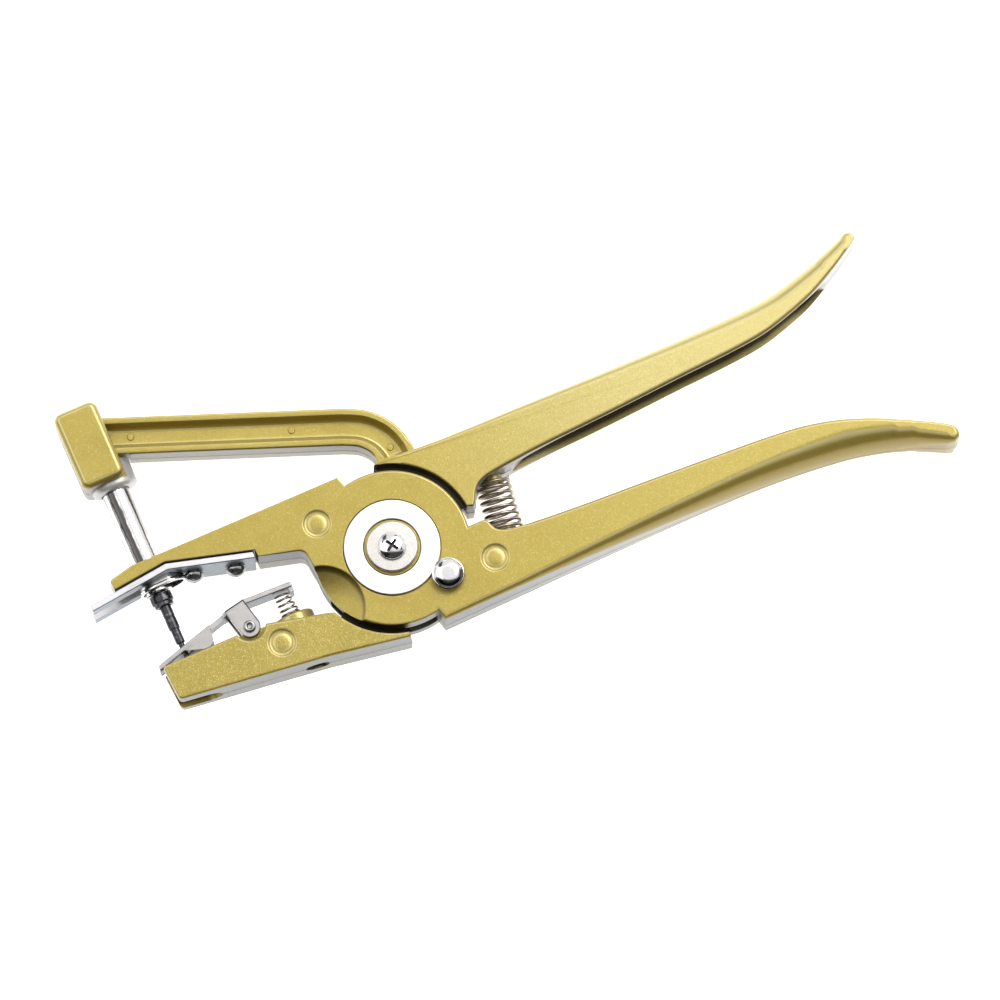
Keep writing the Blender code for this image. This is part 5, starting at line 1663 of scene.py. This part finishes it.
@dataclass(frozen=True)
class UpperLever:
    """Upper grip, hub lug, punch arm and hammer block in one casting.

    Attributes:
        block_x, block_y, block_depth, block_r: Sides, depth and corner radius of the hammer block.
        arm_depth, arm_half, flange, web_t: Section of the punch arm, a channel on both faces.
        arm_path: Middle line of the arm.
        grip_inner, grip_tip, grip_outer: Outline of the grip.
        pips, pip_r: Places and radius of the moulding pips.
        boss_x, boss_r, boss_drop, boss_h: Place and sizes of the boss under the hammer block.
    """

    block_x: Point = (-76.7, -63.0)
    block_y: Point = (52.0, 76.7)
    block_depth: float = 20.6
    block_r: float = 2.0
    arm_depth: float = 14.0
    arm_half: float = 5.85
    flange: float = 2.1
    web_t: float = 7.0
    arm_path: tuple[Point, ...] = ((-68.7, 67.08), (1.0, 40.0), (6.6, 37.0), (10.6, 32.4), (12.3, 27.0),
                                   (12.4, 22.0))
    grip_inner: tuple[Point, ...] = ((39.3, 9.1), (53.2, 10.3), (76, 11.5), (99, 13.0), (116, 14.0),
                                     (128, 15.4), (140.7, 19.0), (148, 22.0), (155.5, 26.0), (162.4, 30.2))
    grip_tip: tuple[Point, ...] = ((163.6, 31.3), (163.2, 33.0), (161.6, 34.1))
    grip_outer: tuple[Point, ...] = ((160, 33.6), (151, 30.6), (139, 27.4), (127, 25.4), (105, 24.5),
                                     (80, 24.3), (50, 24.4), (26, 24.6), (6.5, 25.9))
    pips: tuple[Point, ...] = ((-57.4, 62.8), (-12.9, 45.6), (11.9, 29.2))
    pip_r: float = 1.1
    boss_x: float = -67.5
    boss_r: float = 7.0
    boss_drop: float = 2.2
    boss_h: float = 9.5
    groove_from: float = 41.8

    def outline(self) -> list[EdgePoint]:
        """Counter-clockwise outline of the grip and the root, from the nose beside the ledge."""
        span = TOOL.lever_span
        points = with_edge(arc(TOOL.concave_r, span[1], span[0], 70), 0.7)
        nose = [TOOL.lever_nose, (28.2, 3.2), (29.6, 5.8), (31.4, 7.6), (34.2, 8.7)]
        points += with_edge(smooth(nose, 4), 0.7)
        points += with_edge(smooth(self.grip_inner, 8), 1.2)
        points += [(x, y, grip_crown(x)) for x, y in smooth(self.grip_tip, 4)]
        points += [(x, y, grip_crown(x)) for x, y in smooth(self.grip_outer, 10)]
        return thinned(points, polar(TOOL.concave_r, span[1]), 8.0)

    def arm_outline(self, half: float, start: float = 0.0, end: float = 0.0) -> list[Point]:
        """Both sides of the arm's centre line.

        Args:
            half: Half of the width.
            start: How much is cut off at the hammer block.
            end: How much is cut off at the root.

        Returns:
            The counter-clockwise outline.
        """
        first, bend = Vector(self.arm_path[0]), Vector(self.arm_path[1])
        along = (bend - first).normalized()
        path = [first + along * start, bend - along * 6]
        path += [Vector(p) for p in smooth(self.arm_path[1:], 8)]
        path = [p for p in path if p.y > self.arm_path[-1][1] + end]
        left, right = [], []
        for i, point in enumerate(path):
            run = (path[min(i + 1, len(path) - 1)] - path[max(i - 1, 0)]).normalized()
            side = Vector((-run.y, run.x)) * half
            left.append((point.x + side.x, point.y + side.y))
            right.append((point.x - side.x, point.y - side.y))
        return right + left[::-1]

    def arm(self) -> Solid:
        """The arm's body, with its foot trimmed to the root round the hub."""
        limit = TOOL.concave_r + 0.25
        points = []
        for x, y in self.arm_outline(self.arm_half):
            scale = max(1.0, limit / math.hypot(x, y))
            points.append((x * scale, y * scale))
        return casting(thinned(with_edge(points, 0.8), self.arm_path[-1], 8.0), self.arm_depth / 2)

    def build(self, shop: Workshop) -> None:
        """Builds the casting and the moulding pips on its arm."""
        lug = HubLug(TOOL.run_gap / 2, TOOL.run_gap / 2 + TOOL.lug_t, TOOL.lever_span)
        disc, web, bore, slot = lug.solids(TOOL.squeeze, 0.0)
        (x0, x1), (y0, y1) = self.block_x, self.block_y
        corners = [(x0, y0), (x1, y0), (x1, y1), (x0, y1)]
        block_line: list[Point] = []
        for i, corner in enumerate(corners):
            block_line += rounded_corner(corners[i - 1], corner, corners[(i + 1) % 4],
                                         self.block_r + 0.5, 8)
        block = casting(with_edge(block_line, self.block_r), self.block_depth / 2, 7, 0.1)
        hole = cylinder(PunchRod.radius + TOOL.seat_gap, -5.0, PunchRod.top_y - y0 + TOOL.seat_gap, 64)
        cuts = [bore, slot, hole.moved(stand((0, 1), (PunchRod.x, y0))),
                grip_groove(self.grip_inner, 1.0, (self.groove_from, MainFrame.groove_x[1]),
                            MainFrame.groove_width, MainFrame.groove_depth)]
        web_z, face = self.web_t / 2, self.arm_depth / 2
        rows = [(-2.3, web_z), (-1.7, web_z + 0.12), (-1.25, web_z + 0.45), (-0.9, web_z + 1.1),
                (-0.25, face - 0.45), (-0.1, face - 0.15), (0.2, face + 0.02), (0.3, face + 1.0)]
        inner = self.arm_outline(self.arm_half - self.flange, 4.0, 2.5)
        pockets = [pocket(inner, rows, side) for side in Side]
        pip = [(0, -1.0), (self.pip_r, -1.0), (self.pip_r, 0.1), (self.pip_r * 0.8, 0.3), (0, 0.35)]
        pips = [turned(pip, 24).moved(side.place(x, y, web_z)) for side in Side for x, y in self.pips]
        seat, peg = TOOL.spring_seat(TOOL.spring_head, -TOOL.spring_axis)
        body = casting(self.outline(), TOOL.half)
        r, rise = self.boss_r, y0 - self.boss_drop
        boss = turned([(0, 0), *fillet((r - 1.5, 1.5), 1.5, -90, 0), (r, self.boss_h), (0, self.boss_h)], 72)
        boss.moved(stand((0, 1), (self.boss_x, rise)))
        piece = shop.carve("lever_casting", self.arm(), joins=[body, web, disc, block, boss],
                           cuts=cuts + [seat], pegs=[peg, *pips], pockets=pockets)
        wide = MainFrame.groove_width / 2 + 0.3
        edge = ((self.groove_from, line_y(self.grip_inner[0], self.grip_inner[1], self.groove_from)),
                *(p for p in self.grip_inner if self.groove_from < p[0] < MainFrame.groove_x[1] + 6))
        # Painted shade in the grip's groove, and pale grey over the boss under the hammer block. The faces
        # turn lighter towards the grip's tip and the sides are a lighter grey, as painted light.
        pale = (0.60, 0.60, 0.60)
        shaded = (Channel(edge, 1.0, wide, MainFrame.groove_x[1]),
                  Hollow((x0 - 1, rise - 0.5, -7.2), (x1 + 3, y0 - 0.02, 7.2), 0.15, pale),
                  Hollow((x1 + 0.02, rise - 0.5, -7.2), (x1 + 3, 58.0, 7.2), 0.15, pale))
        paint = CastPaint("cast_paint_lever", (0.43, 0.335, 0.066), (0.39, 0.295, 0.052),
                          bright=(0.52, 0.44, 0.15), face_far=(0.50, 0.42, 0.145),
                          side=(0.23, 0.23, 0.23), hollows=shaded)
        shop.deliver(piece, paint, Slot.CAST_PAINT, Body.UPPER_LEVER, "upper_lever")


@dataclass(frozen=True)
class LowerJaw:
    """Lower jaw: a channel that takes the pin and the tag, with the lug that pivots in the hub.

    Attributes:
        front_x, rim_y, bottom: Front end, rim and lower line.
        channel_half, channel_end_x, channel_floor_y: Half width, end and floor of the channel.
        drain_half, drain_end_x: Half width and end of the slot in its floor.
        oval_x, oval_half, oval_depth: Ends, half width and depth of the oval hole.
        boss_x, boss_r, boss_top_y: Place and sizes of the boss under the small spring.
        dish_at: Centre of the round mark on the faces.
        lug_half: Half width of the lug that the clip rides on.
    """

    front_x: float = -76.2
    rim_y: float = -5.6
    bottom: tuple[Point, ...] = ((-75.4, -17.0), (-30.0, -22.7), (-5.3, -26.9))
    channel_half: float = 5.6
    channel_end_x: float = -54.5
    channel_floor_y: float = -12.5
    drain_half: float = 4.8
    drain_end_x: float = -62.5
    oval_x: Point = (-37.2, -30.2)
    oval_half: float = 2.9
    oval_depth: float = 7.0
    boss_x: float = -34.6
    boss_r: float = 6.2
    boss_top_y: float = -5.4
    dish_at: Point = (-41.0, -13.2)
    lug_half: float = 4.0

    def outline(self) -> list[EdgePoint]:
        """Counter-clockwise outline from the lower front corner."""
        corner = (self.front_x, self.rim_y)
        span = TOOL.jaw_span
        points = with_edge(rounded_corner(corner, self.bottom[0], self.bottom[1], 1.5, 7))
        points += with_edge(self.bottom[1:])
        points += with_edge(arc(TOOL.concave_r + 0.4, span[1], span[0], 54), 0.6)
        points += with_edge([(-26.0, -9.9)])
        points += with_edge(rounded_corner((-26.0, -9.9), (-44.0, self.rim_y), corner, 4.0, 6))
        points += with_edge(rounded_corner((-44.0, self.rim_y), corner, self.bottom[0], 1.0, 6))
        return points

    def build(self, shop: Workshop) -> None:
        """Builds the casting and the pin of the clip."""
        lug = HubLug(-TOOL.run_gap / 2 - TOOL.lug_t, -TOOL.run_gap / 2, TOOL.jaw_span)
        disc, web, bore, slot = lug.solids(TOOL.squeeze, TOOL.drop)
        boss = turned([(0, -7.0), (self.boss_r, -7.0), (self.boss_r, -0.9),
                       *fillet((self.boss_r - 0.9, -0.9), 0.9, 10, 90), (0, 0)], 72)
        boss.moved(stand((0, 1), (self.boss_x, self.boss_top_y)))
        pivot = Matrix.Translation((*TagClip.pivot, 0.0))
        ear_r, half = TagClip.ear_r, TOOL.half
        core = cylinder(ear_r - 0.2, -self.lug_half, self.lug_half, 48).moved(pivot)
        c, floor = self.channel_half, self.channel_floor_y
        channel = prism([(-c, floor + 1.2), *arc(1.2, 180, 270, 5, (-c + 1.2, floor + 1.2))[1:],
                         *arc(1.2, 270, 360, 5, (c - 1.2, floor + 1.2)), (c, self.rim_y - 0.5),
                         (c + 0.15, self.rim_y - 0.15), (c + 0.6, self.rim_y + 0.05), (c + 0.6, 5),
                         (-c - 0.6, 5), (-c - 0.6, self.rim_y + 0.05), (-c - 0.15, self.rim_y - 0.15),
                         (-c, self.rim_y - 0.5)], self.front_x - 2, self.channel_end_x)
        along_x = Matrix(((0, 0, 1, 0), (0, 1, 0, 0), (-1, 0, 0, 0), (0, 0, 0, 1)))
        drain = prism(obround(14.0, self.drain_half, 14), -30, floor + 1)
        drain.moved(Matrix(((1, 0, 0, self.drain_end_x - 14.0), (0, 0, 1, 0), (0, -1, 0, 0), (0, 0, 0, 1))))
        cuts = [bore, slot, channel.moved(along_x).outward(), drain.outward(),
                cylinder(TagClip.pin_r + TOOL.seat_gap, -half, half, 32).moved(pivot)]
        ear_in, dip = self.lug_half + TOOL.seat_gap, ear_r + TagClip.ear_room
        for side in Side:
            cut = turned([(0, ear_in), (dip - 0.5, ear_in),
                          *fillet((dip - 0.5, ear_in + 0.5), 0.5, -80, 0, 4),
                          (dip, half - 0.8), (dip + 0.12, half - 0.4), (dip + 0.45, half - 0.08),
                          (dip + 0.9, half + 0.05), (dip + 0.9, half + 1), (0, half + 1)], 64)
            cuts.append(cut.moved(side.place(*TagClip.pivot, 0.0)))
            cuts.append(cast_dish(self.dish_at, side))
        middle = (self.oval_x[0] + self.oval_x[1]) / 2
        rows = [(-0.1, self.oval_depth), (0.0, 1.0), (0.05, 0.45), (0.4, 0.0), (0.55, -3.0)]
        oval = pocket(obround((self.oval_x[1] - self.oval_x[0]) / 2, self.oval_half), rows[::-1])
        at = (middle, line_y(self.bottom[0], self.bottom[1], middle))
        cuts.append(oval.moved(stand((0, 1), at)).outward())
        piece = shop.carve("jaw_casting", casting(self.outline(), half), joins=[web, disc, boss, core],
                           cuts=cuts)
        # Painted shade in the drain slot along the channel's floor and inside the oval hole.
        shaded = (Channel(self.bottom[:2], 1.0, self.drain_half + 0.15, self.drain_end_x + 0.4, 0.7, 4.2),
                  Hollow((self.oval_x[0] - 0.1, -22.6, -self.oval_half - 0.05),
                         (self.oval_x[1] + 0.1, -12, self.oval_half + 0.05), 0.1))
        paint = CastPaint("cast_paint_sparkling", (0.40, 0.31, 0.056), (0.36, 0.275, 0.046), sparkle=0.86,
                          tilt=0.16, glitter=0.65, hollows=shaded)
        shop.deliver(piece, paint, Slot.CAST_PAINT, Body.LOWER_JAW, "lower_jaw")
        head = ear_in + TOOL.seat_gap + TagClip.ear_t + TOOL.seat_gap
        top, r, wide = head + 0.7, TagClip.pin_r, 1.8
        rivet = [(0, top - 0.75), (0.55, top - 0.7), (0.8, top - 0.12), (1.0, top), (wide - 0.4, top),
                 (wide - 0.12, top - 0.18), (wide, head + 0.2), (wide - 0.05, head), (r, head)]
        profile = [(x, -z) for x, z in rivet] + rivet[::-1]
        shop.deliver(turned(profile, 48).moved(pivot).link("clip_rivet"),
                     PlatedSteel("rivet_steel", (0.40, 0.39, 0.38)), Slot.STEEL, Body.LOWER_JAW, "clip_pin")


@dataclass(frozen=True)
class TagClip:
    """Bent sheet-metal clip: forked nose, neck, two ears on the pin and a thumb pad.

    Attributes:
        pivot, pin_r: Centre and radius of the pin.
        t, half: Thickness and half width of the sheet.
        top: Upper line of the sheet.
        slot_half, slot_end_x: Half width and end of the slot in the nose.
        neck_half, neck_x: Half width and ends of the neck.
        ear_r, ear_t, ear_room: Radius and thickness of the ears, and the room round them.
        lip: How far the pad's end is turned down.
        tab, tab_t: Outline and thickness of the side tabs.
    """

    pivot: Point = (-47.7, -4.3)
    t: float = 1.5
    half: float = 5.2
    top: tuple[Point, ...] = ((-77.0, -4.2), (-58.6, 1.2), (-52.4, 3.0), (-47.0, 4.2), (-31.3, 3.6))
    slot_half: float = 2.6
    slot_end_x: float = -62.5
    neck_half: float = 3.4
    neck_x: Point = (-58.4, -53.6)
    ear_r: float = 3.2
    ear_t: float = 1.5
    ear_room: float = 1.6
    pin_r: float = 1.25
    lip: float = 1.3
    tab: tuple[Point, ...] = ((-69.0, -2.6), (-65.5, -3.9), (-62.6, -4.9), (-60.6, -4.9), (-59.2, -3.9),
                              (-58.7, -2.2), (-58.8, 0.4), (-60.5, 0.3), (-69.0, -2.2))
    tab_t: float = 1.2

    def build(self, shop: Workshop) -> None:
        """Builds the clip."""
        low = [(x, y - self.t) for x, y in self.top]
        tip, tail, top = self.top[0], self.top[4], self.top
        outline = [low[0], *rounded_corner(low[1], low[2], low[3], 2.0, 5),
                   *rounded_corner(low[2], low[3], low[4], 1.5, 6),
                   *rounded_corner(low[3], low[4], tail, 0.5, 4),
                   *rounded_corner(low[4], tail, top[3], 0.5, 4),
                   *rounded_corner(tail, top[3], top[2], 2.5, 6), top[2], top[1],
                   (tip[0] + 0.1, tip[1]), (tip[0], tip[1] - 0.5)]
        sheet = casting(with_edge(outline, 0.28), self.half, 3, 0.0, 0.0)
        ear_in = LowerJaw.lug_half + 2 * TOOL.seat_gap
        x0 = top[2][0] - 0.4
        roots = [(top[3][0] + 0.6, top[3][1] - 0.25), (x0, line_y(top[1], top[2], x0) - 0.2)]
        ear = arc(self.ear_r, -165, 5, 40, self.pivot) + roots
        joins, cuts = [], []
        for side in Side:
            shape = casting(with_edge(ear, 0.25), self.ear_t / 2, 3, 0.0, 0.0)
            joins.append(shape.moved(Matrix.Translation((0, 0, side.value * (ear_in + self.ear_t / 2)))))
            neck = sorted((side.value * self.neck_half, side.value * (self.half + 3)))
            cuts.append(box(self.neck_x, (-6, 8), (neck[0], neck[1])))
            shift = 0.0 if side is Side.FRONT else self.tab_t + 0.02 - 2 * self.half
            tab = prism(self.tab, self.half - self.tab_t, self.half - 0.02)
            joins.append(tab.moved(Matrix.Translation((0, 0, shift))))
        joins.append(box((tail[0] - 1.3, tail[0] - 0.05), (tail[1] - self.t - self.lip, tail[1] - 0.4),
                         (-self.half + 0.5, self.half - 0.5)))
        cuts.append(box((tip[0] - 2, self.slot_end_x), (-10, 8), (-self.slot_half, self.slot_half)))
        hole = cylinder(self.pin_r + TOOL.seat_gap, -TOOL.half, TOOL.half, 32)
        cuts.append(hole.moved(Matrix.Translation((*self.pivot, 0.0))))
        piece = shop.carve("sheet_clip", sheet, joins=joins, cuts=cuts)
        # The second colour is the painted shade on the clip's down-facing sides.
        shop.deliver(piece, PlatedSteel("clip_steel", (0.47, 0.45, 0.44), (0.13, 0.145, 0.17)), Slot.STEEL,
                     Body.TAG_CLIP, "tag_clip")


@dataclass(frozen=True)
class Springs:
    """The return spring between the grips and the small spring under the clip's pad.

    Attributes:
        main_wire, main_radius, main_turns: Radii and turns of the return spring.
        clip_wire, clip_radii, clip_turns: Radii and turns of the clip's spring.
    """

    main_wire: float = 0.5
    main_radius: float = 4.9
    main_turns: float = 9.0
    clip_wire: float = 0.3
    clip_radii: Point = (2.8, 2.1)
    clip_turns: float = 4.5

    @staticmethod
    def world(x: float, y: float, z: float) -> tuple[float, float, float]:
        """A point of the tool frame in metres in the world."""
        return (x * MM, y * MM, (z + TOOL.mid_z) * MM)

    def build(self, shop: Workshop) -> None:
        """Builds both springs."""
        axis = TOOL.spring_axis
        inset = axis * (TOOL.seat_gap + self.main_wire)
        foot, head = Vector(TOOL.spring_foot) + inset, Vector(TOOL.spring_head) - inset
        coil = CoilSpring("return_coil", self.main_radius, None, self.main_wire, self.main_turns,
                          (head - foot).length)
        piece = coil.build(stand(axis, foot), shop.finish(SpringWire()))
        shop.deliver(piece, SpringWire(), Slot.SPRING_STEEL, Body.FRAME, "main_spring", shade=False)
        self.world(*foot, 0.0)
        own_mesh(piece)
        jaw, clip = LowerJaw, TagClip
        foot = Vector((jaw.boss_x - 0.2, jaw.boss_top_y + TOOL.seat_gap + self.clip_wire))
        under = line_y(clip.top[3], clip.top[4], jaw.boss_x) - clip.t
        head = Vector((jaw.boss_x - 0.6, under - TOOL.seat_gap - self.clip_wire))
        coil = CoilSpring("clip_coil", *self.clip_radii, self.clip_wire, self.clip_turns,
                          (head - foot).length)
        piece = coil.build(stand(head - foot, foot), shop.finish(SpringWire()))
        shop.deliver(piece, SpringWire(), Slot.SPRING_STEEL, Body.LOWER_JAW, "clip_spring", shade=False)
        self.world(*foot, 0.0)
        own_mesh(piece)


@dataclass(frozen=True)
class Studio:
    """Pale floor, soft studio light and the camera at the photograph's angle.

    Attributes:
        right, up: Directions of the tool's plane that lie across and up the picture.
        tilt: Degrees by which the camera stands below the pivot axis.
        distance, lens: Distance in metres and focal length in millimetres.
        target: Where the camera looks.
        floor_half: Half width of the floor in metres.
        floor_glow: How bright the floor is.
    """

    right: tuple[float, float, float] = (0.9165, -0.4002, 0.0)
    up: tuple[float, float, float] = (0.4002, 0.9165, 0.0)
    tilt: float = 11.5
    distance: float = 2.40
    lens: float = 292.6
    target: tuple[float, float, float] = (0.03485, 0.00034, 0.0223)
    floor_half: float = 3.0
    floor_glow: float = 0.96

    def camera(self) -> None:
        """Adds the camera, in front of the tool and a little below it."""
        right = Vector(self.right)
        back = Matrix.Rotation(rad(self.tilt), 3, right) @ Vector((0.0, 0.0, 1.0))
        data = bpy.data.cameras.new("camera")
        data.lens = self.lens
        data.sensor_width = 36.0
        data.clip_start = 0.01
        thing = bpy.data.objects.new("camera", data)
        bpy.context.scene.collection.objects.link(thing)
        place = Vector(self.target) + back * self.distance
        turn = Matrix((right, back.cross(right), back)).transposed().to_4x4()
        thing.matrix_world = Matrix.Translation(place) @ turn
        bpy.context.scene.camera = thing

    def light(self, name: str, place: Vector, size: float, power: float,
              colour: Colour = (1, 1, 1)) -> None:
        """Adds an area light that looks at the tool."""
        data = bpy.data.lights.new(name, "AREA")
        data.shape = "SQUARE"
        data.size = size
        data.energy = power
        data.color = colour
        thing = bpy.data.objects.new(name, data)
        bpy.context.scene.collection.objects.link(thing)
        turn = (place - Vector(self.target)).to_track_quat("Z", "Y").to_matrix().to_4x4()
        thing.matrix_world = Matrix.Translation(place) @ turn

    def sky(self) -> None:
        """A bright surround with a dark strip low on the near side, as a camera and its operator make."""
        world = bpy.data.worlds.new("surround")
        world.use_nodes = True
        bpy.context.scene.world = world
        world.node_tree.nodes.clear()
        g = Graph(world.node_tree)
        way = g.add("ShaderNodeTexCoord").outputs["Generated"]
        near = g.vector("DOT_PRODUCT", way, tuple(-c for c in self.up)).node.outputs["Value"]
        left = g.vector("DOT_PRODUCT", way, tuple(-c for c in self.right)).node.outputs["Value"]
        dark = g.ramp(near, (0.10, 1.0), (0.28, 0.06), (0.90, 0.06))
        strip = g.ramp(left, (0.34, 1.0), (0.42, 0.08), (0.62, 0.08), (0.70, 1.0))
        seen = g.math("MULTIPLY", dark, strip)
        shader = g.add("ShaderNodeBackground", {"Color": seen, "Strength": 0.95})
        g.add("ShaderNodeOutputWorld", {0: shader.outputs[0]})

    def floor(self) -> None:
        """Adds the pale floor."""
        h = self.floor_half
        mesh = bpy.data.meshes.new("floor")
        mesh.from_pydata([(-h, -h, 0), (h, -h, 0), (h, h, 0), (-h, h, 0)], [], [(0, 1, 2, 3)])
        thing = bpy.data.objects.new("floor", mesh)
        bpy.context.scene.collection.objects.link(thing)
        s = Surface("pale_floor")
        grain = s.noise(s.object_at, 0.02, 3.0)
        s.set(Base_Color=s.mix(grain, (0.93, 0.93, 0.93), (0.95, 0.95, 0.95)), Roughness=0.85,
              Emission_Color=(1.0, 1.0, 1.0), Emission_Strength=self.floor_glow)
        thing.data.materials.append(s.material)

    def build(self) -> None:
        """Sets up the camera, the light and the floor."""
        self.camera()
        self.sky()
        self.floor()
        up, right, over = Vector(self.up), Vector(self.right), Vector((0, 0, 1))
        centre = Vector(self.target)
        self.light("key", centre + up * 0.7 + right * 0.5 + over * 1.3, 1.0, 14.0)
        self.light("fill", centre - right * 0.9 + up * 0.2 + over * 1.1, 1.2, 6.0)
        scene = bpy.context.scene
        scene.view_settings.view_transform = "Standard"
        scene.view_settings.look = "None"


def main() -> None:
    """Builds the sub-assemblies in order."""
    logging.basicConfig(level=logging.INFO, format="%(name)s: %(message)s")
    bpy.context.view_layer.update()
    Studio().build()
    shop = Workshop()
    frame_part = MainFrame()
    frame_part.build(shop)
    JawPlate().build(shop, frame_part)
    PivotStack().build(shop)
    UpperLever().build(shop)
    PunchRod().build(shop)
    LowerJaw().build(shop)
    TagClip().build(shop)
    LockButton().build(shop)
    Springs().build(shop)
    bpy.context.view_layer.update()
    LOG.info("%d pieces", shop.count)


if __name__ == "__main__":
    main()
